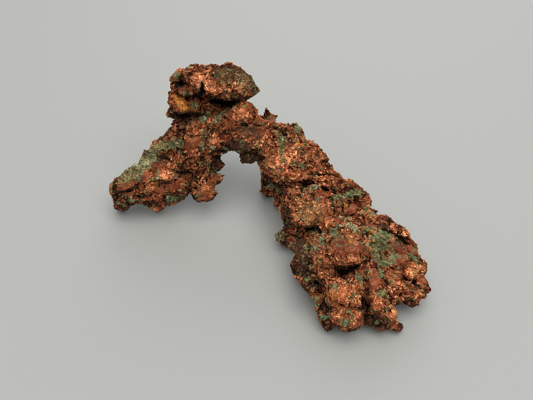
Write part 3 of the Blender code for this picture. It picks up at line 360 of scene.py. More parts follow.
# Painted shade on flanks and undersides, darker still where the strength is over 1
PAINTED_SHADE_PATCHES = (
    (6.6, -6, 4, 9, 0, 1), (10.8, -15.4, 6, 6.4, 0, 1.4), (6.8, -15.4, 5, 4, 0, 0.9),
    (11.5, 22.6, 3.4, 3, 0, 0.6), (30, -24.4, 5, 3, 0, 0.45), (16, -33.8, 4, 4, 0, 0.4),
    (26.4, -15, 9, 5, 0, 0.35), (5.6, -12.6, 4, 4, 0, 0.8), (12, -21, 6.5, 8, 0, 1.3),
    (13.4, -29.5, 4, 4, 0, 0.7), (16.4, -27.6, 3.4, 3.4, 0, 1), (19.8, -36, 4.4, 4.6, 0, 0.8),
    (20.4, -42.4, 3.6, 2.6, 0, 0.7), (36.5, -40.6, 8, 5, -20, 1), (0.2, 4.4, 3, 5, 0, 0.2),
    (-7.6, 14.4, 12.6, 5, -6, 1.3), (-7, 23.8, 8, 2.4, 0, 0.9), (-5, 39.6, 5, 6, 0, 0.5),
    (10.6, -16, 4.4, 5, 0, 1), (14, -24, 4, 6, 0, 0.7), (-26, 27, 9, 4, 0, 0.7),
    (-34.4, 22, 8, 2.6, 55, 0.6), (-16.6, 12.6, 4, 5.6, 0, 0.9), (-28, 0.6, 12, 3.4, 8, 0.8),
    (-40, -1.2, 8, 2.6, 0, 0.7), (44.8, -42.4, 3, 2.4, 0, 0.7), (-50.6, 2, 2.2, 6, 0, 0.8),
    (-47.5, -1.5, 6, 3.4, 0, 0.7), (-31.6, 29, 3.6, 3, 0, 0.9), (-26, 28.4, 9, 2.4, 0, 1),
    (-28.4, 38.8, 3.6, 3, 0, 0.9), (-4.2, 36.8, 3.6, 2.6, -30, 0.7), (52.8, -30.6, 2.6, 2.2, 0, 0.8),
    (47, -34.4, 7, 2, -10, 0.4), (-13, 42.4, 16, 7, 0, 0.4), (-9, 41, 12, 6, -25, 0.5),
    (-3.6, 22, 6, 4, 0, 0.6), (-7.6, 22, 5, 4, 0, 0.5), (-9.4, 17.6, 10, 5, -5, 0.8),
    (44.4, -14.6, 6, 4.4, -40, 0.6), (39.5, -10, 6, 3.6, -20, 0.8), (-35.4, 13.4, 6, 4, 20, 0.7),
    (48.8, -29, 4.4, 4, 0, 0.4), (-38, 16.6, 9, 4, 45, 0.5), (11.4, 3.4, 5, 2.6, 0, 0.5),
    (20.6, -15, 5, 4, 0, 0.3), (48.6, -19.6, 4, 3, 0, 0.4), (-44.6, -0.6, 5, 3, 0, 0.5),
    (39.5, -18.2, 3.4, 2.6, 0, 0.9),
)
# Weathered copper of an olive brown, on which the crust is olive too
OLIVE = (
    (14.6, -4.4, 9, 7.6, 0, 1), (-12.5, 41.5, 11, 7, 0, 0.8), (-7, 40, 8, 7, -30, 0.8),
    (30, -10.4, 5, 3, 0, 0.7), (28, -14.6, 8, 4, 0, 0.6), (25.4, -1, 4, 3, 0, 0.7), (15, -6, 7, 5, 0, 0.8),
    (11.6, -1, 5, 5, 0, 0.6), (-30, 41, 4, 4, 0, 0.7), (-11, 30, 4, 3, 0, 0.5), (35, -16, 4, 8, 0, 0.6),
    (25, -12.6, 6, 3, 0, 0.8), (5.4, -12.6, 3.6, 4, 0, 0.8), (-17, 29, 8, 5, 0, 0.4),
    (-44.4, 9.4, 13, 5.4, 35, 1), (-37, 15.4, 9, 6, 40, 0.6), (11.5, 21.4, 3, 2.4, 0, 0.6),
)
# The brown eye of the green pool, where the crust is broken through
POOL_EYE = ((39.5, -18.2, 3.8, 2.8, -35, 0.9),)
# Worn copper, brighter than the rest
WORN = (
    (7.6, 14.6, 17, 14, -38, 0.75), (25.5, -5.7, 4, 5, 0, 0.7), (15.4, -3.6, 14, 11, -30, 0.95),
    (-24, 41, 7, 5, 0, 0.4), (-18.4, 37.6, 5.4, 3.6, -50, 1), (-10, 39.6, 13, 9, 0, 0.25),
    (-9, 35.8, 9, 3, -10, 0.9), (-6.4, 31.4, 6, 4, 0, 0.9), (8, 20, 6, 5, 0, 0.5),
    (-7.8, 29, 6.4, 7.4, 0, 0.9), (-28.8, 31.8, 7, 4.4, -45, 1), (10, 8, 11, 5, -5, 1),
    (2.2, 17.6, 5, 5, 0, 0.6), (34.8, -29, 4, 4, 0, 0.7), (-33.6, 8.2, 8, 6, 0, 0.2),
    (-23.8, 20, 5, 7, 0, 0.4), (-17.8, 18.4, 5, 7, 0, 0.7), (-21.4, 17.8, 4, 5, 0, 0.7),
    (-25.8, 35.6, 4, 3, 0, 0.7), (-20.6, 4.4, 6, 6, 0, 0.15), (26.4, -32.6, 9.5, 8, 0, 0.6),
    (25, -35, 8, 3.4, 0, 0.7), (-1.2, 16.6, 4, 9, 0, 0.8), (2.6, 9, 4, 7, 0, 0.5), (8, 3.4, 7, 4, 0, 0.8),
    (40.4, -7.2, 6, 3, -35, 0.6), (26.6, -38, 7, 6, 0, 0.5), (28, -18.6, 13, 5.4, 0, 0.45),
    (49.4, -24, 6.4, 8, 0, 0.8), (38.6, -35.6, 9, 6, -40, 0.6), (42.6, -38.6, 4, 5, 0, 0.7),
    (46.4, -30, 10, 5, -20, 0.5), (19, -25.2, 6, 5, 0, 0.6), (44.6, -9.6, 8, 3.4, -35, 0.25),
    (24.6, 1.2, 8, 4, 0, 0.4), (20.6, -6, 5, 7, 20, 0.6), (16.6, -13.4, 6, 4, -35, 0.4),
    (33, -14, 4, 5, 0, 0.5),
)
# Copper grown as wires, with many small blades
WIRY = (
    (8, 13.5, 16, 13, -35, 1), (15, 9.5, 14, 9, -30, 1), (13, 3.6, 12, 5, 0, 0.9),
    (20, 5.4, 8, 5, -30, 0.7), (14.5, -3.6, 14, 12, -25, 1), (9, -4, 5, 10, 20, 0.6),
    (13.6, -12.4, 7, 5, -40, 0.9), (18.6, -18.6, 8, 7, -40, 0.9), (27, -19.6, 10, 4.4, 5, 0.8),
    (20, -24.4, 6, 5, -10, 0.8), (27.2, -30.6, 9, 11, 0, 1), (25, -38.2, 7, 7, 0, 0.9),
    (29.4, -39.6, 4, 5, 0, 0.8), (39, -35.6, 9, 6, -40, 0.9), (42.6, -38.4, 4, 6, 0, 0.9),
    (46.4, -29.6, 12, 6, -20, 0.9), (51.6, -25, 4, 6, 20, 0.7), (-8, 29, 6, 6, 0, 1),
    (2.6, 20, 8, 5, 0, 0.7), (-5.6, 19.6, 7, 4, 0, 0.6), (-17.2, 19.2, 5, 6, 0, 0.6),
    (27.6, -6, 8, 6, -40, 0.4), (44.8, -10.2, 8, 3, -35, 0.6), (-38, 3, 8, 3, 10, 0.4),
    (36.6, -23, 6, 4, 0, 0.4), (-21, 3.6, 5, 5, 0, 0.5),
)

# Where the wires run one way: across, up, length, breadth and turn of each patch, and the way that they run
RUNS = (
    (2.6, 13, 6, 12, 0, -50), (14.5, 9.5, 15, 7, -15, -12), (9, 3.8, 13, 5, 0, 5), (20, 3.5, 7, 5, 0, -30),
    (14, -13, 8, 5, -40, -38), (18.6, -18.6, 9, 8, -40, -40), (26, -20.6, 14, 3.6, 0, -80),
    (19, -26, 6, 6, 0, -60), (27, -30, 9, 10, 0, -110), (25.5, -38, 8, 8, 0, -95),
    (38, -35.5, 12, 8, -45, -45), (43, -40, 6, 6, 0, -45), (46, -29.5, 14, 7, -20, -28),
    (39, -26.5, 8, 6, 0, -40), (44.5, -10.5, 10, 4, -40, -42), (37, -8, 9, 4, -20, -18),
    (50, -22.5, 6, 6, 0, -60), (-38, 3, 10, 4, 10, 15), (-46, 3.4, 7, 3, 15, 15),
    (-24.4, 19, 4, 6, 0, -70),
)

# Where the wires spread like a fan: the middle of each fan across and up, and its reach
FANS = ((14.4, -3.4, 8.5), (-20.6, 3.4, 4))

# The strongest of the bare patches are as smooth as foil
FOIL = tuple(row for row in BARE if row[5] >= 0.9)

# Kinds of patch: the list of each and, where the picture doesn't show the surface, the size of its blotches
# of noise, the level that they start at, and their seed
KINDS = {
    "bare": (BARE, 3.4, 0.16, 81), "red": (RED, 4.0, 0.42, 84), "green": (GREEN, 4.6, 0.30, 87),
    "turquoise": (TURQUOISE, 2.4, 0.62, 90), "pale": (PALE, 2.0, 0.60, 93), "ochre": (OCHRE, 2.6, 0.66, 96),
    "painted_shade": (PAINTED_SHADE_PATCHES, 7.0, 0.25, 99), "olive": (OLIVE, 6.0, 0.25, 102), "worn": (WORN, 8.0, -0.1, 108),
}

# Colours, as shares of red, green and blue light
DARK_COPPER, COPPER, BRIGHT_COPPER = (0.034, 0.009, 0.0045), (0.44, 0.134, 0.050), (0.96, 0.42, 0.19)
CUPRITE, RED_SKIN = (0.26, 0.063, 0.034), (0.31, 0.077, 0.037)
TAN, BRIGHT_TAN = (0.27, 0.170, 0.068), (0.62, 0.36, 0.17)
# Copper under painted shade, dull and brighter, and deep painted shade
SHADED_DARK_COPPER, SHADED_BRIGHT_COPPER, DEEP_PAINTED_SHADE = (0.021, 0.009, 0.005), (0.098, 0.049, 0.028), (0.045, 0.027, 0.018)
GREEN_CRUST, OLIVE_CRUST, CRUST_PITS = (0.195, 0.285, 0.12), (0.42, 0.375, 0.175), (0.105, 0.088, 0.040)
TURQUOISE_SPECK, PALE_CRUST, OCHRE_STAIN = (0.15, 0.26, 0.15), (0.46, 0.46, 0.27), (0.58, 0.225, 0.03)
# The near black of painted shade in hollows and gaps
SHADE = (0.006, 0.004, 0.003)
SHEEN = (1.0, 0.74, 0.70)
TABLE, ROOM = (0.455, 0.46, 0.437), (0.80, 0.82, 0.84)


# Sight lines


def seen(points):
    """Where each point is in the picture: its place across and up along the sight's own axes, spread by the
    perspective so that lengths hold at the sight distance, and its distance from the eye along the sight."""
    q = points - SIGHT_FOOT
    away = SIGHT_DISTANCE - q @ TOWARDS
    spread = SIGHT_DISTANCE / away
    return (q @ RIGHT) * spread, (q @ UP) * spread, away


def unseen(across, up, away):
    """The inverse of seen: from a place in the picture and a distance from the eye back to the point."""
    shrink = away / SIGHT_DISTANCE
    return (SIGHT_FOOT + (across * shrink)[:, None] * RIGHT + (up * shrink)[:, None] * UP
            + (SIGHT_DISTANCE - away)[:, None] * TOWARDS)


class Front:
    """The nearest distance from the eye over a fine net of the picture: each cell keeps the least distance
    of the points in it, and an empty cell takes its nearest neighbours' in four passes."""

    CELL = 0.5
    LOW = (-56.0, -48.0)
    SIZE = (226, 196)
    EMPTY = 1e6

    def __init__(self, points):
        a, b, away = seen(points)
        net = np.full(self.SIZE, self.EMPTY)
        np.minimum.at(net, self.cell(a, b), away)
        for _ in range(4):
            wide = np.pad(net, 1, constant_values=self.EMPTY)
            near = np.minimum.reduce([wide[:-2, 1:-1], wide[2:, 1:-1], wide[1:-1, :-2], wide[1:-1, 2:]])
            net = np.where(net == self.EMPTY, near, net)
        self.net = net

    def cell(self, a, b):
        """The cell that each place falls in, the nearest one for a place off the net."""
        return tuple(np.clip(((place - low) / self.CELL).astype(int), 0, size - 1)
                     for place, low, size in zip((a, b), self.LOW, self.SIZE))

    def away(self, a, b):
        """The nearest distance at each place, read from its cell."""
        return self.net[self.cell(np.asarray(a, float), np.asarray(b, float))]


# Patterns in space, as whole arrays

# Large odd numbers, by which bits are scrambled
SCRAMBLE = tuple(np.uint32(odd) for odd in (374761393, 668265263, 2246822519, 2654435761, 1274126177))


def mixed(x, y, z, seed):
    """A whole number of 32 scrambled bits for each whole-number place and seed: the three numbers are
    multiplied by large odd numbers, added, and their high bits folded onto their low ones."""
    h = sum(part.astype(np.int32).view(np.uint32) * odd for part, odd in zip((x, y, z), SCRAMBLE))
    h = h + np.uint32((seed * 974711 + 12345) % 2 ** 32)
    h = (h ^ (h >> np.uint32(15))) * SCRAMBLE[3]
    h = (h ^ (h >> np.uint32(13))) * SCRAMBLE[4]
    return h ^ (h >> np.uint32(16))


def numbers_of(h, bits, top):
    """Three numbers for each scrambled one: three lots of its bits, each divided by the given top."""
    mask = np.uint32(2 ** bits - 1)
    return [((h >> np.uint32(bits * k)) & mask).astype(np.float32) / top for k in range(3)]


def swell(points, size, seed):
    """Smooth noise from about -1 to 1: each corner of a cubic lattice of the given size has its own slope,
    and a point blends the eight slopes' heights by a curve that is level at the lattice planes."""
    q = (points / size).astype(np.float32)
    base = np.floor(q)
    f = q - base
    cell = base.astype(np.int32)
    w = f * f * f * (f * (f * 6.0 - 15.0) + 10.0)
    total = np.zeros(len(q), np.float32)
    for dx, dy, dz in np.ndindex(2, 2, 2):
        h = mixed(cell[:, 0] + dx, cell[:, 1] + dy, cell[:, 2] + dz, seed)
        gx, gy, gz = (part - 1.0 for part in numbers_of(h, 10, 511.5))
        height = gx * (f[:, 0] - dx) + gy * (f[:, 1] - dy) + gz * (f[:, 2] - dz)
        total += height * ((w[:, 0] if dx else 1 - w[:, 0]) * (w[:, 1] if dy else 1 - w[:, 1])
                           * (w[:, 2] if dz else 1 - w[:, 2]))
    return total * 1.5


def layers(points, size, seed, count=3):
    """Noise in layers: each layer has half the size and half the height of the one before."""
    return sum(swell(points, size / 2 ** k, seed + k) / 2 ** k for k in range(count))


def drift(points, size, reach, seed):
    """The points moved by smooth noise in each of the three directions, up to about the reach."""
    return points + reach * np.stack([swell(points, size, seed + k) for k in range(3)], 1)


def shards(points, size, seed):
    """Space is shared among scattered seeds, one to a lattice cell. A point belongs to its nearest seed,
    whose shard has its own level and its own tilt. Gives the height from -1 to 1, how near the point is to
    the edge of its shard from 0 on the edge to about 1 inside, the shard's own tone from 0 to 1 and grain
    direction, and the way to the point from the shard's seed."""
    q = (points / size).astype(np.float32)
    cell = np.floor(q).astype(np.int32)
    first = np.full(len(q), 9.0, np.float32)
    second = first.copy()
    height, tone = (np.zeros(len(q), np.float32) for _ in range(2))
    grain, lies = (np.zeros((len(q), 3), np.float32) for _ in range(2))
    for step in np.ndindex(3, 3, 3):
        corner = [cell[:, axis] + step[axis] - 1 for axis in range(3)]
        h = mixed(*corner, seed)
        ox, oy, oz = (q[:, axis] - corner[axis] - part for axis, part in enumerate(numbers_of(h, 10, 1023.0)))
        d = ox * ox + oy * oy + oz * oz
        nearer = d < first
        second = np.where(nearer, first, np.minimum(second, d))
        k = np.flatnonzero(nearer)
        t = h[k] * SCRAMBLE[3]
        t ^= t >> np.uint32(15)
        gx, gy, gz = (part - 1.0 for part in numbers_of(t, 8, 127.5))
        tone[k] = (t >> np.uint32(24)).astype(np.float32) / 255.0
        height[k] = (tone[k] - 0.5) + 0.9 * (gx * ox[k] + gy * oy[k] + gz * oz[k])
        grain[k] = np.stack([gx, gy, gz], 1)
        lies[k] = np.stack([ox[k], oy[k], oz[k]], 1)
        first[k] = d[k]
    grain /= np.maximum(np.linalg.norm(grain, axis=1, keepdims=True), 1e-3)
    return height, np.sqrt(second) - np.sqrt(first), tone, grain, lies * size


def smooth(x, low, high):
    """0 below low, 1 above high, and a curve that is level at both ends between."""
    t = np.clip((x - low) / (high - low), 0.0, 1.0)
    return t * t * (3.0 - 2.0 * t)


# Meshes as arrays


def triangle_mesh(name, points, faces):
    """A mesh from an array of points and an array of three-cornered faces."""
    mesh = bpy.data.meshes.new(name)
    mesh.vertices.add(len(points))
    mesh.vertices.foreach_set("co", np.asarray(points, np.float32).ravel())
    mesh.loops.add(faces.size)
    mesh.loops.foreach_set("vertex_index", np.asarray(faces, np.int32).ravel())
    mesh.polygons.add(len(faces))
    mesh.polygons.foreach_set("loop_start", np.arange(0, faces.size, 3, dtype=np.int32))
    mesh.polygons.foreach_set("use_smooth", np.zeros(len(faces), bool))
    mesh.update(calc_edges=True)
    return mesh


def arrays_of(mesh):
    """The mesh's points and its faces cut into triangles, as arrays."""
    mesh.calc_loop_triangles()
    points = np.empty(len(mesh.vertices) * 3, np.float32)
    mesh.vertices.foreach_get("co", points)
    faces = np.empty(len(mesh.loop_triangles) * 3, np.int32)
    mesh.loop_triangles.foreach_get("vertices", faces)
    return points.reshape(-1, 3).astype(float), faces.reshape(-1, 3)


def in_scene(mesh):
    """An object of the mesh's name, in the scene."""
    made = bpy.data.objects.new(mesh.name, mesh)
    bpy.context.scene.collection.objects.link(made)
    return made


def taken_from(body):
    """The points and faces of a helper as its modifiers leave it. The helper and its mesh then go."""
    shown = body.evaluated_get(bpy.context.evaluated_depsgraph_get())
    result = arrays_of(shown.to_mesh())
    shown.to_mesh_clear()
    bpy.data.meshes.remove(body.data)
    return result


def kept_inside(body, cutter):
    """A modifier that leaves only what of the body is inside the cutter, where both are closed."""
    cut = body.modifiers.new("cut", "BOOLEAN")
    cut.operation = "INTERSECT"
    cut.solver = "MANIFOLD"
    cut.object = cutter
    return cut


def edges_of(faces):
    """The two ends of every side of every face."""
    return np.concatenate([faces[:, [0, 1]], faces[:, [1, 2]], faces[:, [2, 0]]])


def normals_of(points, faces):
    """Each point's outward direction: the sum of its faces' crossed edges, brought to length one."""
    a, b, c = (points[faces[:, k]] for k in range(3))
    crossed = np.cross(b - a, c - a)
    total = np.stack([
        sum(np.bincount(faces[:, k], crossed[:, axis], len(points)) for k in range(3)) for axis in range(3)
    ], 1)
    return total / np.maximum(np.linalg.norm(total, axis=1, keepdims=True), 1e-9)


def evened(points, faces, rounds, share=0.5):
    """The points drawn towards the middle of their neighbours, by the given share, a number of times."""
    start, end = edges_of(faces).T
    count = np.bincount(start, minlength=len(points))[:, None]
    for _ in range(rounds):
        middle = np.stack([np.bincount(start, points[end, k], len(points)) for k in range(3)], 1)
        points = points + share * (middle / np.maximum(count, 1) - points)
    return points


def fused(bodies, grid):
    """One closed skin round all the given bodies, drawn again on an even grid."""
    offset, points, faces = 0, [], []
    for p, f in bodies:
        points.append(p)
        faces.append(f + offset)
        offset += len(p)
    body = in_scene(triangle_mesh("fusing", np.concatenate(points), np.concatenate(faces)))
    remesh = body.modifiers.new("fuse", "REMESH")
    remesh.mode = "VOXEL"
    remesh.voxel_size = grid
    return taken_from(body)


def largest_body(points, faces):
    """The body with the most points: every point takes the least number among its neighbours until none
    changes, and the most common number wins."""
    start, end = edges_of(faces).T
    label = np.arange(len(points))
    while True:
        lower = label.copy()
        np.minimum.at(lower, start, label[end])
        np.minimum.at(lower, end, lower[start])
        lower = lower[lower]
        if (lower == label).all():
            break
        label = lower
    kept = label == np.argmax(np.bincount(label))
    number = np.cumsum(kept) - 1
    return points[kept], number[faces[kept[faces[:, 0]]]]


def bare_solid():
    """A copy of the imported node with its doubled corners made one, in millimetres."""
    points, faces = arrays_of(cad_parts[NODE].data)
    whole, where = np.unique(np.round(points / MILLIMETRE, 4), axis=0, return_inverse=True)
    faces = where.reshape(-1)[faces]
    kept = (faces[:, 0] != faces[:, 1]) & (faces[:, 1] != faces[:, 2]) & (faces[:, 0] != faces[:, 2])
    return whole, faces[kept]


def ball(rings, sides):
    """A unit ball on a grid of rings and sides between two poles: the point at ring angle u and side angle v
    is (sin u cos v, sin u sin v, cos u)."""
    u = np.linspace(0, math.pi, rings + 2)[1:-1]
    v = np.linspace(0, 2 * math.pi, sides, endpoint=False)
    uu, vv = np.meshgrid(u, v, indexing="ij")
    grid = np.stack([np.sin(uu) * np.cos(vv), np.sin(uu) * np.sin(vv), np.cos(uu)], -1).reshape(-1, 3)
    points = np.concatenate([[[0, 0, 1.0]], grid, [[0, 0, -1.0]]])
    r, s = np.meshgrid(np.arange(rings - 1), np.arange(sides), indexing="ij")
    a, b = 1 + r * sides + s, 1 + r * sides + (s + 1) % sides
    quads = np.stack([a, a + sides, b + sides, b], -1).reshape(-1, 4)
    k = np.arange(sides)
    top = np.stack([np.zeros(sides, int), 1 + k, 1 + (k + 1) % sides], 1)
    last = 1 + (rings - 1) * sides
    foot = np.stack([np.full(sides, last + sides), last + (k + 1) % sides, last + k], 1)
    return points, np.concatenate([top, quads[:, [0, 1, 2]], quads[:, [0, 2, 3]], foot])


def axes_on(normals, along):
    """Three axes for each point: along the surface in the wanted direction, across it, and out of it."""
    flow = along - normals * np.sum(along * normals, 1, keepdims=True)
    flow /= np.maximum(np.linalg.norm(flow, axis=1, keepdims=True), 1e-6)
    return np.stack([flow, np.cross(normals, flow), normals], 1)


def placed_copies(bodies, axes, centres):
    """Each copy's own points turned onto its three axes and moved to its centre."""
    return np.einsum("nij,njk->nik", bodies, axes) + centres[:, None]


def copied_faces(faces, count, corners):
    """One shape's faces repeated, each time with its corners' numbers raised by the corners of a copy."""
    return faces[None] + (np.arange(count) * corners)[:, None, None]


def lumps(shape, centres, axes, sizes, rough, seed):
    """Copies of one closed shape: each is stretched by its three sizes along its three axes and set at its
    centre, and every point is moved in or out by up to the rough share, by its own seeded number."""
    points, faces = shape
    rng = np.random.default_rng(seed)
    body = points[None] * (1 + rough * rng.uniform(-1, 1, (len(centres), len(points), 1))) * sizes[:, None]
    return (placed_copies(body, axes, centres).reshape(-1, 3),
            copied_faces(faces, len(centres), len(points)).reshape(-1, 3))


# Places and lines in the picture


def rim_line():
    """The rim's places as one array, the start of the next stretch following the end of the one before."""
    return np.array([place for stretch in RIM.values() for place in stretch])


def from_stretch(a, b, start, end):
    """For each place, the share of a straight stretch where that is nearest, and the way to it from there."""
    (x0, y0), (x1, y1) = start, end
    ex, ey = x1 - x0, y1 - y0
    t = np.clip(((a - x0) * ex + (b - y0) * ey) / (ex * ex + ey * ey), 0, 1)
    return t, a - (x0 + t * ex), b - (y0 + t * ey)


def near_line(a, b, line, margin):
    """The numbers of the places that are in the upright box round a line, widened by the margin."""
    low, high = line.min(0) - margin, line.max(0) + margin
    return np.flatnonzero((a > low[0]) & (a < high[0]) & (b > low[1]) & (b < high[1]))


def from_rim(a, b):
    """How far each place in the picture is outside the rim, less than 0 inside. Inside is told by how often
    a line to the right crosses the rim."""
    line = rim_line()
    best = np.full(len(a), 1e9)
    inside = np.zeros(len(a), bool)
    for start, end in zip(line, np.roll(line, -1, 0)):
        _, da, db = from_stretch(a, b, start, end)
        best = np.minimum(best, da * da + db * db)
        (x0, y0), (x1, y1) = start, end
        if y0 != y1:
            inside ^= ((y0 > b) != (y1 > b)) & (a < (x1 - x0) * (b - y0) / (y1 - y0) + x0)
    return np.sqrt(best) * np.where(inside, -1.0, 1.0)


def gap_share(a, b, away, line, width, reach, front):
    """How much each point belongs to a gap: 1 near its line, 0 from its half width on, for points no further
    behind or before the surface at the line than its reach. The half width is full in the middle of the line
    and goes down to a third at its ends."""
    line = np.array(line, float)
    share = np.zeros(len(a))
    half = width / 2
    k = near_line(a, b, line, half)
    depth = front.away(line[:, 0], line[:, 1])
    spans = len(line) - 1
    for n in range(spans):
        t, da, db = from_stretch(a[k], b[k], line[n], line[n + 1])
        d = np.hypot(da, db) / (1.0 - 0.67 * np.abs(2 * (n + t) / spans - 1) ** 3)
        level = np.abs(away[k] - (depth[n] + t * (depth[n + 1] - depth[n])))
        within = smooth(-d, -half, -0.35 * half) * smooth(-level, -reach - 1.2, -reach)
        share[k] = np.maximum(share[k], within)
    return share


def patch_share(a, b, away, front, patches):
    """How much each point belongs to a list of oval patches: full within about half of an oval, nothing from
    one and a half times its size on, for points near the surface that is seen at its middle."""
    share = np.zeros(len(a))
    for across, up, long, broad, turn, strength in patches:
        c, s = math.cos(math.radians(turn)), math.sin(math.radians(turn))
        u = ((a - across) * c + (b - up) * s) / (long / 2)
        v = ((b - up) * c - (a - across) * s) / (broad / 2)
        k = np.flatnonzero(u * u + v * v < 2.6)
        level = away[k] - front.away([across], [up])[0]
        reach = 1.5 + 0.5 * max(long, broad)
        r = np.sqrt(u[k] ** 2 + v[k] ** 2)
        near = smooth(-np.abs(level), -reach - 1.5, -reach)
        share[k] = np.maximum(share[k], strength * smooth(-r, -1.5, -0.55) * near)
    return share


# Shaping


def rim_beads(front):
    """Lumps along the rim, one at about every bead step: each is set in from the rim, a little behind the
    nearest surface that is seen up to 3.4 mm further in, so that the skin reaches the rim everywhere."""
    line = rim_line()
    places, inward = [], []
    for p, q in zip(line, np.roll(line, -1, 0)):
        size = np.hypot(*(q - p))
        count = max(1, round(size / BEAD_STEP))
        t = (np.arange(count) + 0.5) / count
        places.append(p + t[:, None] * (q - p))
        inward.append(np.repeat([[-(q - p)[1] / size, (q - p)[0] / size]], count, 0))
    places, inward = np.concatenate(places), np.concatenate(inward)
    away = np.full(len(places), Front.EMPTY)
    for reach in (1.1, 1.8, 2.6, 3.4):
        there = places + reach * inward
        away = np.where(away == Front.EMPTY, front.away(there[:, 0], there[:, 1]), away)
    good = away < Front.EMPTY
    at = (places + 1.05 * inward)[good]
    centres = unseen(at[:, 0], at[:, 1], away[good] + 0.9)
    rng = np.random.default_rng(3)
    sizes = rng.uniform(0.95, 1.25, (len(centres), 3)) * np.array([1.0, 1.0, 1.25])
    axes = np.repeat(np.stack([RIGHT, UP, TOWARDS])[None], len(centres), 0)
    return lumps(ball(5, 8), centres, axes, sizes, 0.12, 4)


def grains(points, faces):
    """Small long lumps scattered over the skin, except on its calm plates, each turned by a slow drift."""
    calm = patch_share(*seen(points), Front(points), RED)
    rng = np.random.default_rng(11)
    chosen = np.flatnonzero(rng.uniform(0, 1, len(points)) < GRAIN_SHARE * (1 - calm))
    at, normals = points[chosen], normals_of(points, faces)[chosen]
    sizes = rng.uniform(0.5, 1.0, (len(at), 1)) * rng.uniform(0.7, 1.3, (len(at), 3))
    sizes = sizes * np.array([1.5, 0.75, 0.7])
    along = drift(at, 9.0, 6.0, 21) - at + 0.8 * rng.normal(size=(len(at), 3))
    return lumps(ball(4, 7), at - 0.15 * normals, axes_on(normals, along), sizes, 0.2, 12)


def raised(points, front):
    """Each ledge of the list stands towards the eye: most at its edge, dying away with the distance to the
    raised side, and nothing on the other side of the edge."""
    a, b, away = seen(points)
    wa = a + 0.35 * swell(points, 1.5, 63)
    wb = b + 0.35 * swell(points, 1.5, 64)
    lift = np.zeros(len(points))
    for _, line, height, reach in LEDGES:
        line = np.array(line, float)
        depth = front.away(line[:, 0], line[:, 1])
        k = near_line(wa, wb, line, 2.5 * reach)
        best, own = np.full(len(k), 1e9), np.zeros(len(k))
        last = len(line) - 2
        for n, ((x0, y0), (x1, y1)) in enumerate(zip(line[:-1], line[1:])):
            ex, ey = x1 - x0, y1 - y0
            span = math.hypot(ex, ey)
            t = ((wa[k] - x0) * ex + (wb[k] - y0) * ey) / span ** 2
            c = np.clip(t, 0, 1)
            d = np.hypot(wa[k] - (x0 + c * ex), wb[k] - (y0 + c * ey))
            side = (ex * (wb[k] - y0) - ey * (wa[k] - x0)) / span
            over = np.maximum(-t * span if n == 0 else 0, (t - 1) * span if n == last else 0)
            ends = smooth(-np.maximum(over, 0), -1.2, 0)
            level = np.abs(away[k] - (depth[n] + c * (depth[n + 1] - depth[n])))
            here = height * np.exp(-d / reach) * (side > 0) * ends * smooth(-level, -reach - 2.5, -reach - 1)
            own = np.where(d < best, here, own)
            best = np.minimum(best, d)
        lift[k] = np.maximum(lift[k], own)
    return unseen(a, b, away - lift)


def pressed(points, front):
    """Each gap of the list is pressed in along the sight lines, by its depth where its share is 1."""
    a, b, away = seen(points)
    wa = a + 0.5 * layers(points, 1.8, 61, 2)
    wb = b + 0.5 * layers(points, 1.8, 62, 2)
    push = np.zeros(len(points))
    for _, line, width, depth in GAPS:
        push = np.maximum(push, depth * gap_share(wa, wb, away, line, width, depth + 0.8, front))
    return unseen(a, b, away + push)


def cut_to_rim(points, faces):
    """What stands outside the rim, seen along the sight lines, is cut off: the body is kept where it meets a
    cone whose corners are the rim's places carried from one of the cone's ends to the other."""
    line = rim_line()
    count = len(line)
    corners = np.concatenate([unseen(*line.T, np.full(count, away)) for away in CONE_ENDS])
    k = np.arange(count)
    after = (k + 1) % count
    sides = np.stack([k, k + count, after + count, after], 1)
    mesh = bpy.data.meshes.new("rim cone")
    mesh.from_pydata(corners.tolist(), [], [k.tolist(), (k[::-1] + count).tolist(), *sides.tolist()])
    cone = in_scene(mesh)
    body = in_scene(triangle_mesh("cutting", points, faces))
    kept_inside(body, cone)
    result = taken_from(body)
    bpy.data.meshes.remove(mesh)
    return result


def made_skin():
    """The nugget's fine skin before it is roughened: the solid with lumps along its rim and grains all over,
    fused, raised at the ledges and pressed in at the gaps, trimmed to the rim and drawn again on a finer
    grid. Gives its points, its faces and its front."""
    points, faces = fused([bare_solid()], FIRST_GRID)
    points = evened(points, faces, 2)
    points, faces = fused([(points, faces), rim_beads(Front(points)), grains(points, faces)], FUSING_GRID)
    front = Front(points)
    points = pressed(raised(points, front), front)
    points, faces = cut_to_rim(*fused([(points, faces)], FUSING_GRID))
    points, faces = largest_body(*fused([(points, faces)], SKIN_GRID))
    return evened(points, faces, 1, 0.4), faces, Front(points)


def wire_ways(points, away, lies, grain, front):
    """Turns the grain in the patches of the list the way that their wires run. A whole shard turns, since
    the place that counts is its seed's."""
    a, b, _ = seen(points - lies)
    for *patch, way in RUNS:
        k = np.flatnonzero(patch_share(a, b, away, front, [(*patch, 1.0)]) > 0.3)
        grain[k] = math.cos(math.radians(way)) * RIGHT + math.sin(math.radians(way)) * UP + 0.4 * grain[k]


def spread_fans(points, along, grain, normals, front):
    """Makes the wires of each fan of the list spread from its middle: the place that the smaller shards are
    read at goes by the turn round the middle, and slowly by the distance from it, and the grain points
    outwards."""
    a, b, away = seen(points)
    for across, up, reach in FANS:
        da, db = a - across, b - up
        far = np.hypot(da, db)
        k = np.flatnonzero((far < reach) & (np.abs(away - front.away([across], [up])[0]) < reach))
        turn = np.arctan2(db[k], da[k])
        place = np.stack([0.8 * reach * turn, 0.26 * far[k], 0.5 * away[k]], 1)
        along[k] = place + drift(points[k], 1.6, 0.4, 37) - points[k]
        grain[k] = axes_on(normals[k], da[k, None] * RIGHT + db[k, None] * UP)[:, 0]


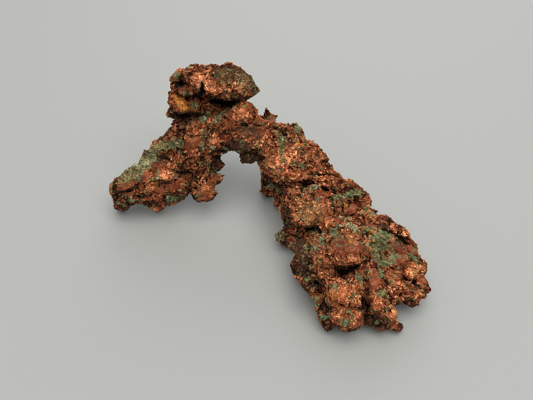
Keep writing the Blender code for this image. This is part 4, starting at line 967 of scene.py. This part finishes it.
def roughened(points, faces, front):
    """Shards of three sizes and a swell lift the skin along its own outward direction, less on calm plates,
    foil, crust and weathered copper, and grooves run between them. The two smaller sizes are drawn out along
    the grain of the big shard that they lie in. Behind the rim, where lumps and blades stand out of it, the
    skin is sunk. Gives the new points, how high each stands among its neighbours from about -1 to 1, the
    tone of its big shard, its grain, and how far it faces down, from 0 to 1."""
    normals = normals_of(evened(points, faces, 6), faces)
    a, b, away = seen(points)
    bare, calm, crust, foil, wiry, weathered = (
        patch_share(a, b, away, front, patches) for patches in (BARE, RED, GREEN, FOIL, WIRY, OLIVE))
    behind = smooth(away - front.away(a, b), 2.0, 6.0)
    sunk = -0.55 * behind * (1 + layers(points, 6.0, 38, 2))
    moved = drift(points, 3.0, 1.1, 31)
    big, big_edge, tone, grain, lies = shards(moved, 4.4, 41)
    wire_ways(points, away, lies, grain, front)
    grain = axes_on(normals, grain)[:, 0]
    along = moved - 0.74 * grain * np.sum(grain * lies, 1, keepdims=True)
    spread_fans(points, along, grain, normals, front)
    middle, middle_edge, _, _, _ = shards(drift(along, 1.6, 0.3, 34), 1.0, 42)
    small, small_edge, _, _, _ = shards(drift(along, 0.9, 0.2, 35), 0.52, 43)
    amount = np.clip(1.0 - 0.75 * calm - 0.45 * foil, 0.22, 1.0)
    amount = amount * (1 - 0.35 * np.minimum(crust, 1)) * (1 - 0.3 * np.minimum(weathered, 1))
    grooves = (0.40 * np.exp(-big_edge / 0.08) + 0.26 * np.exp(-middle_edge / 0.16)
               + 0.10 * np.exp(-small_edge / 0.25))
    rough = 0.34 * middle + 0.19 * small + 0.10 * layers(points, 1.1, 51, 2)
    height = (0.70 * big * (1 - 0.5 * wiry) + rough - grooves) * amount + 0.12 * bare + sunk
    ridge = (rough - grooves) * amount / 0.3
    return points + normals * height[:, None], ridge, tone, grain, smooth(-normals[:, 2], -0.05, 0.55)


def settled(points):
    """The points kept inside the solid's own box by the margin, and above the table."""
    low = np.array(cad_low) / MILLIMETRE + BOX_MARGIN
    high = np.array(cad_high) / MILLIMETRE - BOX_MARGIN
    low[2] = 0.0
    return np.clip(points, low, high)


# What the finish needs to know at each point


def filled_share(points, faces, at, reaches):
    """How much of the space round each place is inside the body. The body is drawn on a grid of half a
    millimetre: every upright grid line that crosses a face adds one where it enters and takes one where it
    leaves. The grid is then evened out over each reach and read at the places."""
    cell = 0.5
    low = points.min(0) - 4.0
    size = np.ceil((points.max(0) + 4.0 - low) / cell).astype(int)
    tri = (points[faces] - low) / cell
    first = np.ceil(tri[:, :, :2].min(1)).astype(int)
    last = tri[:, :, :2].max(1)
    grid = np.zeros(size, np.float32)
    for dx, dy in np.ndindex(4, 4):
        x, y = first[:, 0] + dx, first[:, 1] + dy
        k = np.flatnonzero((x <= last[:, 0]) & (y <= last[:, 1]))
        p, q, r = tri[k, 0], tri[k, 1], tri[k, 2]
        px, py = x[k] + 1e-4, y[k] + 2e-4
        area = (q[:, 0] - p[:, 0]) * (r[:, 1] - p[:, 1]) - (r[:, 0] - p[:, 0]) * (q[:, 1] - p[:, 1])
        safe = np.where(np.abs(area) < 1e-12, 1.0, area)
        v = ((px - p[:, 0]) * (r[:, 1] - p[:, 1]) - (r[:, 0] - p[:, 0]) * (py - p[:, 1])) / safe
        w = ((q[:, 0] - p[:, 0]) * (py - p[:, 1]) - (px - p[:, 0]) * (q[:, 1] - p[:, 1])) / safe
        hit = (v >= 0) & (w >= 0) & (v + w < 1) & (np.abs(area) > 1e-12)
        z = p[:, 2] + v * (q[:, 2] - p[:, 2]) + w * (r[:, 2] - p[:, 2])
        iz = np.clip(np.ceil(z[hit]).astype(int), 0, size[2] - 1)
        np.add.at(grid, (x[k][hit], y[k][hit], iz), -np.sign(area[hit]))
    grid = np.clip(np.cumsum(grid, axis=2), 0, 1)
    spots = np.clip(((at - low) / cell).round().astype(int), 0, np.array(size) - 1)
    shares = []
    for reach in reaches:
        soft = grid
        span = max(1, int(round(reach / cell / 1.7)))
        count = 2 * span + 1
        for axis in (0, 1, 2, 0, 1, 2):
            margins = [(span + 1, span) if k == axis else (0, 0) for k in range(3)]
            total = np.cumsum(np.pad(soft, margins, mode="edge"), axis=axis)
            upper = np.take(total, np.arange(count, total.shape[axis]), axis=axis)
            lower = np.take(total, np.arange(0, total.shape[axis] - count), axis=axis)
            soft = (upper - lower) / count
        shares.append(soft[spots[:, 0], spots[:, 1], spots[:, 2]])
    return shares


def finish_marks(points, ridge, tone, under, near, wide, front):
    """What the finish needs to know at each point: its share of each kind of patch, as listed where the
    picture shows the surface and as blotches of noise where it does not, its share of the foil, the wires
    and the gaps, how it stands among its neighbours, how sheltered it is nearby and further round, and its
    tone. The patches' edges are made uneven by reading them at places moved by noise."""
    a, b, away = seen(points)
    wa = a + 0.7 * layers(points, 1.4, 71, 3)
    wb = b + 0.7 * layers(points, 1.4, 75, 3)
    shown = smooth(-(away - front.away(a, b)), -5.0, -2.0)
    marks = {}
    for name, (patches, size, low, seed) in KINDS.items():
        blotch = smooth(layers(points, size, seed, 3), low, low + 0.3)
        marks[name] = np.maximum(patch_share(wa, wb, away, front, patches), blotch * (1 - shown))
    marks["green"] *= 1 - patch_share(wa, wb, away, front, POOL_EYE)
    # Faces that turn down get painted shade too
    marks["painted_shade"] = np.maximum(marks["painted_shade"], 0.9 * under)
    marks["foil"] = patch_share(wa, wb, away, front, FOIL)
    marks["wiry"] = np.maximum(patch_share(a, b, away, front, WIRY),
                               smooth(swell(points, 9.0, 105), -0.2, 0.3) * (1 - shown))
    gap = np.zeros(len(points))
    for _, line, width, depth in GAPS:
        gap = np.maximum(gap, gap_share(wa, wb, away, line, width * 1.1, depth + 1.0, front))
    marks["gap"] = gap
    marks["ridge"] = np.clip(0.5 + 0.5 * ridge, 0, 1)
    marks["hollow"] = np.clip((near - 0.46) / 0.4, 0, 1)
    marks["deep"] = np.clip((wide - 0.42) / 0.4, 0, 1)
    marks["tone"] = tone
    return marks


# Small pieces that stand out of the skin


def leaning(normals, grain, lean, stray, rng):
    """The axes of copies that stand on the skin and lie along its grain, each tipped by up to about the lean
    and turned by up to about the stray, by its own seeded numbers."""
    outward = normals + lean * rng.normal(size=normals.shape)
    outward /= np.linalg.norm(outward, axis=1, keepdims=True)
    return axes_on(outward, grain + stray * rng.normal(size=grain.shape))


def set_on_skin(bodies, axes, at, shell, marks, lit, tone):
    """The points, faces and marks of copies set on the skin. Each takes the marks of the point that it
    stands on, but has its own painted light and shade at each corner and its own tone. Only the copies are
    kept whose corners all stay within the rim or reach over it by less than the limit, as seen along the
    sight lines."""
    count, corners = bodies.shape[:2]
    placed = placed_copies(bodies, axes, at)
    a, b, _ = seen(placed.reshape(-1, 3))
    kept = (from_rim(a, b).reshape(count, corners) < OVER_RIM).all(1)
    copied = {key: np.repeat(values[kept], corners) for key, values in marks.items()}
    copied["ridge"] = lit[kept].ravel()
    copied["tone"] = np.repeat(tone[kept], corners)
    return placed[kept].reshape(-1, 3), copied_faces(shell, kept.sum(), corners).reshape(-1, 3), copied


def hackles(points, normals, marks, grain, share, seed):
    """Small curved blades of copper that stand out of the skin. Each has two tips and two three-cornered
    sections between them. With t from -1/2 to 1/2 along a blade of length L, breadth W and height H, bent by
    c and leaning by s, a section's feet are at (t L, c (1 - 4 t t) L +- W/2, -0.35 H) and its crest at
    (t L, c (1 - 4 t t) L + s W, H), or 0.9 H on the second, along the grain, across it and outwards. The tips
    lie at their own small heights. Gives the points, the faces and the marks, with painted shade at the feet
    and painted highlights on the crests."""
    rng = np.random.default_rng(seed)
    where = (0.2 + 0.8 * marks["ridge"]) * (0.12 + 0.88 * marks["wiry"])
    for key, less in (("red", 0.8), ("gap", 1), ("deep", 0.8), ("green", 0.5), ("foil", 0.6)):
        where = where * (1 - less * marks[key])
    own = np.flatnonzero(rng.uniform(0, 1, len(points)) < share * where)
    count = len(own)
    axes = leaning(normals[own], grain[own], 0.4, 0.22, rng)
    long = rng.uniform(0.55, 1.15, count) + 1.0 * rng.uniform(0, 1, count) ** 4
    broad = rng.uniform(0.26, 0.48, count)
    high = rng.uniform(0.18, 0.44, count)
    curve, lean = rng.uniform(-0.15, 0.15, count), rng.uniform(-0.3, 0.3, count)
    t = np.array([-0.5, -0.17, -0.17, -0.17, 0.17, 0.17, 0.17, 0.5])
    side = np.array([0, -0.5, 0.5, 0, -0.5, 0.5, 0, 0])
    crest = np.array([0, 0, 0, 1, 0, 0, 1, 0])
    up = np.array([0.2, -0.35, -0.35, 1.0, -0.35, -0.35, 0.9, 0.2])
    shell = np.array([(0, 1, 3), (0, 3, 2), (0, 2, 1), (1, 4, 6), (1, 6, 3), (3, 6, 5), (3, 5, 2), (2, 5, 4),
                      (2, 4, 1), (4, 7, 6), (6, 7, 5), (5, 7, 4)])
    u = long[:, None] * t
    v = (curve * long)[:, None] * (1 - 4 * t * t) + broad[:, None] * (side + lean[:, None] * crest)
    tips = (t != 0) * (side == 0) * (1 - crest)
    w = high[:, None] * (up + tips * rng.uniform(-0.5, 1.2, (count, 1)) * t * 2)
    bodies = np.stack([u, v, w], 2) + rng.uniform(-0.05, 0.05, (count, 8, 3))
    # Painted light: the crests are marked bright as painted highlights and the feet dark as painted shade
    lit = np.where(crest > 0, rng.uniform(0.5, 1.2, (count, 1)), rng.uniform(0.0, 0.25, (count, 1)))
    lit = np.where(side == 0, np.maximum(lit, 0.4), lit)
    marks = {key: values[own] for key, values in marks.items()}
    return set_on_skin(bodies, axes, points[own], shell, marks, lit, rng.uniform(0, 1, count))


def flakes(points, normals, marks, grain, share, seed):
    """Thin crumpled plates that lap over each other like shingles. Each is two fans on a ring of nine
    corners at the angles 2 pi k / 9, at its own ragged radii, with the corners bent up and down by their own
    seeded numbers; the upper fan's middle is raised and the lower one's sunk. The plate is tipped, so one
    side lifts off the skin and the other goes into it. The raised corners get painted highlights."""
    rng = np.random.default_rng(seed)
    where = 0.2 + 0.8 * marks["ridge"]
    for key, less in (("wiry", 0.85), ("gap", 1), ("deep", 0.7)):
        where = where * (1 - less * marks[key])
    own = np.flatnonzero(rng.uniform(0, 1, len(points)) < share * where)
    count = len(own)
    axes = leaning(normals[own], grain[own], 0.25, 0.5, rng)
    long = rng.uniform(0.35, 0.75, count) + 0.5 * rng.uniform(0, 1, count) ** 4
    broad = long * rng.uniform(0.4, 0.85, count)
    tip = rng.uniform(0.10, 0.36, count)
    angle = 2 * math.pi * np.arange(9) / 9
    radius = rng.uniform(0.72, 1.15, (count, 9))
    u = np.concatenate([long[:, None] * radius * np.cos(angle), np.zeros((count, 2))], 1)
    v = np.concatenate([broad[:, None] * radius * np.sin(angle), np.zeros((count, 2))], 1)
    w = np.concatenate([rng.uniform(-0.11, 0.12, (count, 9)), rng.uniform(0.0, 0.14, (count, 1)),
                        np.full((count, 1), -0.2)], 1)
    w = w + tip[:, None] * u / long[:, None]
    k = np.arange(9)
    after = (k + 1) % 9
    shell = np.concatenate([np.stack([k, after, np.full(9, 9)], 1), np.stack([after, k, np.full(9, 10)], 1)])
    # Painted light: each flake is marked brighter towards its raised side
    lit = rng.uniform(0.1, 0.5, (count, 1)) + 0.4 * u / long[:, None] * rng.uniform(0.2, 1.0, (count, 1))
    lit = np.clip(lit + rng.uniform(-0.2, 0.2, (count, 11)), 0, 0.75)
    marks = {key: values[own] for key, values in marks.items()}
    return set_on_skin(np.stack([u, v, w], 2), axes, points[own], shell, marks, lit, rng.uniform(0, 1, count))


# The finish


def copper_finish():
    """One finish for the whole nugget, from the skin's own marks and noise on the object's coordinates:
    copper by how brightly it is worn, with painted highlights on its crests and painted shade in its hollows,
    then its red and tan parts, then painted shade on its flanks and undersides, then crusts and stains on it,
    then painted shade, near black, in its hollows and gaps. What is covered shines less."""
    material = bpy.data.materials.new("native copper")
    material.use_nodes = True
    tree = material.node_tree
    tree.nodes.clear()

    def node(kind, **settings):
        """A node of the finish with the given settings."""
        made = tree.nodes.new(kind)
        for key, value in settings.items():
            setattr(made, key, value)
        return made

    def feed(socket, value):
        """Links the value to the socket, or sets it there, a colour with full cover."""
        if isinstance(value, bpy.types.NodeSocket):
            tree.links.new(value, socket)
        else:
            socket.default_value = (*value, 1) if isinstance(value, tuple) else value

    def mark(name):
        """The skin's own mark of that name."""
        return node("ShaderNodeAttribute", attribute_name=name).outputs["Fac"]

    def calc(operation, first, second=0.0, third=0.0, clamp=False):
        """One step of arithmetic."""
        made = node("ShaderNodeMath", operation=operation, use_clamp=clamp)
        for socket, value in zip(made.inputs, (first, second, third)):
            feed(socket, value)
        return made.outputs[0]

    def times(first, second):
        """The first times the second."""
        return calc("MULTIPLY", first, second)

    def added(start, value, weight):
        """The start plus the value times its weight."""
        return calc("MULTIPLY_ADD", value, weight, start)

    def most(first, second, clamp=False):
        """The larger of the two, kept from 0 to 1 if clamped."""
        return calc("MAXIMUM", first, second, clamp=clamp)

    def around_zero(value):
        """The value less a half."""
        return calc("SUBTRACT", value, 0.5)

    def noise(size_mm, detail=2.0, rough=0.6):
        """Noise from 0 to 1 with lumps of the given size."""
        made = node("ShaderNodeTexNoise")
        made.inputs["Scale"].default_value = 1.0 / (size_mm * MILLIMETRE)
        made.inputs["Detail"].default_value = detail
        made.inputs["Roughness"].default_value = rough
        feed(made.inputs["Vector"], place)
        return made.outputs["Fac"]

    def ramp(value, low, high):
        """0 up to low, 1 from high on, and a smooth curve between."""
        made = node("ShaderNodeMapRange", interpolation_type="SMOOTHSTEP")
        feed(made.inputs["Value"], value)
        made.inputs["From Min"].default_value = low
        made.inputs["From Max"].default_value = high
        return made.outputs["Result"]

    def blend(share, under, over):
        """A colour that goes from under to over by the share."""
        made = node("ShaderNodeMix", data_type="RGBA")
        for number, value in ((0, share), (6, under), (7, over)):
            feed(made.inputs[number], value)
        return made.outputs[2]

    def level(share, under, over):
        """A number that goes from under to over by the share."""
        made = node("ShaderNodeMix", data_type="FLOAT")
        for number, value in ((0, share), (2, under), (3, over)):
            feed(made.inputs[number], value)
        return made.outputs[0]

    place = node("ShaderNodeTexCoord").outputs["Object"]
    fine = noise(0.4, 2.0)
    speck = around_zero(noise(0.85, 3.0, 0.65))
    broad = noise(5.0, 3.0, 0.6)
    blotch = noise(2.6, 3.0, 0.6)
    patchy = noise(1.7, 3.0, 0.6)
    fleck = around_zero(fine)
    ridge, hollow = mark("ridge"), mark("hollow")

    def ragged(name, spread=2.0, low=0.36, high=0.64):
        """A mark with its edge broken up by specks and flecks."""
        return ramp(added(added(mark(name), speck, spread), fleck, 0.7), low, high)

    # Brightness of the copper: bare and worn copper and random tone, with painted highlights on crests and
    # painted shade in hollows
    copper_tone_and_painted_light = times(mark("bare"), 0.45)
    for value, weight in ((ridge, 0.95), (speck, 0.8), (fleck, 0.45), (hollow, -1.0),
                          (around_zero(mark("tone")), 0.60), (around_zero(broad), 1.2), (mark("worn"), 0.30)):
        copper_tone_and_painted_light = added(copper_tone_and_painted_light, value, weight)
    bright = ramp(copper_tone_and_painted_light, 0.4, 1.0)
    copper = blend(ramp(copper_tone_and_painted_light, -0.1, 0.5), DARK_COPPER, COPPER)
    copper = blend(bright, copper, BRIGHT_COPPER)
    copper = blend(times(ramp(blotch, 0.54, 0.60), 0.6), copper, CUPRITE)
    tan = most(times(ragged("olive"), 0.72), times(ramp(patchy, 0.57, 0.63), 0.5))
    copper = blend(tan, copper, blend(bright, TAN, BRIGHT_TAN))
    copper = blend(times(ragged("red"), 0.6), copper, RED_SKIN)
    # Painted shade on flanks, undersides and faces that turn down: a darker copy of the copper, darker still
    # where the mark is over 1
    painted_shade = times(ragged("painted_shade", 1.6, 0.3, 0.6), 0.85)
    copper_in_painted_shade = blend(ramp(copper_tone_and_painted_light, 0.1, 0.9), SHADED_DARK_COPPER, SHADED_BRIGHT_COPPER)
    copper = blend(painted_shade, copper, blend(ramp(mark("painted_shade"), 0.95, 1.35), copper_in_painted_shade, DEEP_PAINTED_SHADE))

    dust = ramp(added(calc("SUBTRACT", 1.0, blotch), hollow, 0.22), 0.58, 0.66)
    green = most(times(ragged("green"), 0.9), times(dust, 0.75))
    crust = blend(most(ramp(broad, 0.54, 0.66), mark("olive"), clamp=True), GREEN_CRUST, OLIVE_CRUST)
    raised_crust = ramp(added(added(speck, ridge, 0.6), fleck, 0.9), -0.10, 0.50)
    colour = blend(green, copper, blend(raised_crust, CRUST_PITS, crust))
    covered = green
    for name, share, coat in (("turquoise", 0.8, TURQUOISE_SPECK), ("pale", 0.9, PALE_CRUST),
                              ("ochre", 0.85, OCHRE_STAIN)):
        cover = times(ragged(name, 3.0), share)
        colour = blend(cover, colour, coat)
        covered = most(covered, cover)

    # Painted shade, near black, in sheltered hollows and along the gaps
    shade = times(ramp(added(hollow, mark("deep"), 0.4), 0.32, 1.0), added(1.0, green, -0.4))
    shade = most(shade, ramp(mark("gap"), 0.25, 0.8))
    colour = blend(times(shade, 0.95), colour, SHADE)
    covered = most(covered, most(shade, times(painted_shade, 0.7)), clamp=True)

    surface = node("ShaderNodeBsdfPrincipled")
    feed(surface.inputs["Specular IOR Level"], 0.24)
    feed(surface.inputs["Specular Tint"], SHEEN)
    feed(surface.inputs["Base Color"], colour)
    feed(surface.inputs["Metallic"], times(calc("SUBTRACT", 1.0, covered), level(bright, 0.55, 0.9)))
    rough = level(mark("foil"), level(bright, 0.62, 0.46), 0.40)
    feed(surface.inputs["Roughness"], level(covered, rough, 0.9))
    bump = node("ShaderNodeBump")
    feed(bump.inputs["Strength"], 0.7)
    feed(bump.inputs["Distance"], 0.14 * MILLIMETRE)
    feed(bump.inputs["Height"], added(fine, noise(0.2, 2.0), 0.5))
    feed(surface.inputs["Normal"], bump.outputs[0])
    feed(node("ShaderNodeOutputMaterial").inputs["Surface"], surface.outputs[0])
    return material


# Pieces


def marked_mesh(name, points, faces, marks, material):
    """A mesh in metres with the material, and with the marks as attributes of its points."""
    mesh = triangle_mesh(name, points * MILLIMETRE, faces)
    for key, values in marks.items():
        layer = mesh.attributes.new(key, "FLOAT", "POINT")
        layer.data.foreach_set("value", values.astype(np.float32))
    mesh.materials.append(material)
    return mesh


def on_nugget(mesh):
    """A piece of the nugget, which rides on its body and has its material slot."""
    piece = in_scene(mesh)
    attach(piece, BODY)
    return piece


def slab(x, low, high, step=0.0012):
    """A closed box from one upright plane to the next, with both planes divided into small squares. Corner
    (i, j, k) is at (x[i], low y + j step, low z + k step), and a strip of faces goes round between the two
    planes."""
    across = math.ceil((high[1] - low[1]) / step) + 1
    up = math.ceil((high[2] - low[2]) / step) + 1
    i, j, k = np.meshgrid([0, 1], np.arange(across), np.arange(up), indexing="ij")
    corners = np.stack([np.array(x)[i], low[1] + j * step, low[2] + k * step], -1).reshape(-1, 3)
    near = ((i * across + j) * up + k)[0]
    squares = np.stack([near[:-1, :-1], near[:-1, 1:], near[1:, 1:], near[1:, :-1]], -1).reshape(-1, 4)
    planes = np.concatenate([squares, squares[:, ::-1] + across * up])
    rim = np.concatenate([near[:-1, 0], near[-1, :-1], near[:0:-1, -1], near[0, :0:-1]])
    after = np.roll(rim, -1)
    strip = np.stack([rim, after, after + across * up, rim + across * up], 1)
    mesh = bpy.data.meshes.new("slab")
    mesh.from_pydata(corners.tolist(), [], np.concatenate([planes, strip]).tolist())
    return mesh


def parted(name, points, faces, marks, material):
    """The skin cut across by upright planes into closed pieces of about the same number of faces. Each plane
    stands where an equal share of the points lies between it and the one before, and a piece is what the
    whole skin shares with the slab between two planes."""
    count = math.ceil(len(faces) / PIECE_FACES)
    planes = np.quantile(points[:, 0], np.arange(count + 1) / count)
    planes[0], planes[-1] = planes[0] - 5.0, planes[-1] + 5.0
    low, high = points.min(0) * MILLIMETRE - 0.003, points.max(0) * MILLIMETRE + 0.003
    whole = in_scene(marked_mesh(name, points, faces, marks, material))
    for number in range(count):
        mesh = slab(planes[number:number + 2] * MILLIMETRE, low, high)
        mesh.materials.append(material)
        cut = kept_inside(whole, in_scene(mesh))
        piece = bpy.data.meshes.new_from_object(whole.evaluated_get(bpy.context.evaluated_depsgraph_get()))
        whole.modifiers.remove(cut)
        bpy.data.meshes.remove(mesh)
        piece.name = "%s_%d" % (name, number + 1)
        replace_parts(on_nugget(piece), NODE)
    bpy.data.meshes.remove(whole.data)


points, faces, front = made_skin()
points, ridge, tone, grain, under = roughened(points, faces, front)
points = settled(points)
normals = normals_of(points, faces)
near, wide = filled_share(points, faces, points + 0.35 * normals, (1.2, 3.2))
marks = finish_marks(points, ridge, tone, under, near, wide, front)
copper = copper_finish()
parted("nugget_skin", points, faces, marks, copper)
small_pieces = {
    "nugget_hackles_1": hackles(points, normals, marks, grain, HACKLE_SHARE, 201),
    "nugget_hackles_2": hackles(points, normals, marks, grain, HACKLE_SHARE, 202),
    "nugget_flakes": flakes(points, normals, marks, grain, FLAKE_SHARE, 211),
}
for name, (own_points, own_faces, own_marks) in small_pieces.items():
    on_nugget(marked_mesh(name, settled(own_points), own_faces, own_marks, copper))


# Surroundings


def turned_to(towards):
    """The turn that points a lamp or camera along a direction, with its upper side up."""
    return Vector(towards).to_track_quat("-Z", "Y").to_euler()


def table_top(half=1.5):
    """A plain pale table: one square of twice the half side, in metres."""
    corners = np.array([(-half, -half, 0), (half, -half, 0), (half, half, 0), (-half, half, 0)])
    mesh = triangle_mesh("table", corners, np.array([(0, 1, 2), (0, 2, 3)]))
    material = bpy.data.materials.new("pale table")
    material.use_nodes = True
    surface = material.node_tree.nodes["Principled BSDF"]
    surface.inputs["Base Color"].default_value = (*TABLE, 1)
    surface.inputs["Roughness"].default_value = 0.55
    mesh.materials.append(material)
    in_scene(mesh)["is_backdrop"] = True


def area_light(name, place, size, watts, colour, aim=(0.0, 0.0, 0.01)):
    """A flat lamp of the given width and height, in metres, that faces the nugget."""
    light = bpy.data.lights.new(name, "AREA")
    light.shape = "RECTANGLE"
    light.size, light.size_y = size
    light.energy = watts
    light.color = colour
    lamp = bpy.data.objects.new(name, light)
    lamp.location = place
    lamp.rotation_euler = turned_to(np.array(aim) - np.array(place))
    bpy.context.scene.collection.objects.link(lamp)


def room_light():
    """The even light of the room."""
    world = bpy.data.worlds.new("room light")
    world.use_nodes = True
    background = world.node_tree.nodes["Background"]
    background.inputs["Color"].default_value = (*ROOM, 1)
    background.inputs["Strength"].default_value = 0.52
    bpy.context.scene.world = world


def picture_camera(sensor=36.0):
    """The camera at the eye of the sight lines, with as many millimetres across as the picture has."""
    lens = bpy.data.cameras.new("camera")
    lens.sensor_width = sensor
    lens.lens = sensor * DOTS_PER_MILLIMETRE * SIGHT_DISTANCE / PICTURE_WIDTH
    camera = bpy.data.objects.new("camera", lens)
    camera.location = (SIGHT_FOOT + SIGHT_DISTANCE * TOWARDS) * MILLIMETRE
    camera.rotation_euler = turned_to(-TOWARDS)
    bpy.context.scene.collection.objects.link(camera)
    bpy.context.scene.camera = camera


def crispened(share):
    """The picture is made a little crisper, as the camera's own picture is: it is taken to the brightness
    steps of a screen, each dot is moved away from its four neighbours by the share, and it is taken back."""
    scene = bpy.context.scene
    scene.use_nodes = True
    tree = scene.node_tree
    tree.nodes.clear()
    steps = [tree.nodes.new("CompositorNode" + kind)
             for kind in ("RLayers", "Gamma", "Filter", "Gamma", "Composite")]
    steps[1].inputs["Gamma"].default_value = 1 / 2.2
    steps[2].filter_type = "SHARPEN_DIAMOND"
    steps[2].inputs["Fac"].default_value = share
    steps[3].inputs["Gamma"].default_value = 2.2
    for first, second in zip(steps[:-1], steps[1:]):
        tree.links.new(first.outputs["Image"], second.inputs["Image"])


table_top()
area_light("ceiling", (0.12, -0.30, 1.25), (1.3, 1.3), 13.5, (1.0, 0.985, 0.96))
area_light("window", (0.15, 1.15, 0.65), (1.0, 0.8), 4.0, (0.97, 0.98, 1.0))
room_light()
picture_camera()
bpy.context.scene.view_settings.view_transform = "Standard"
crispened(0.10)
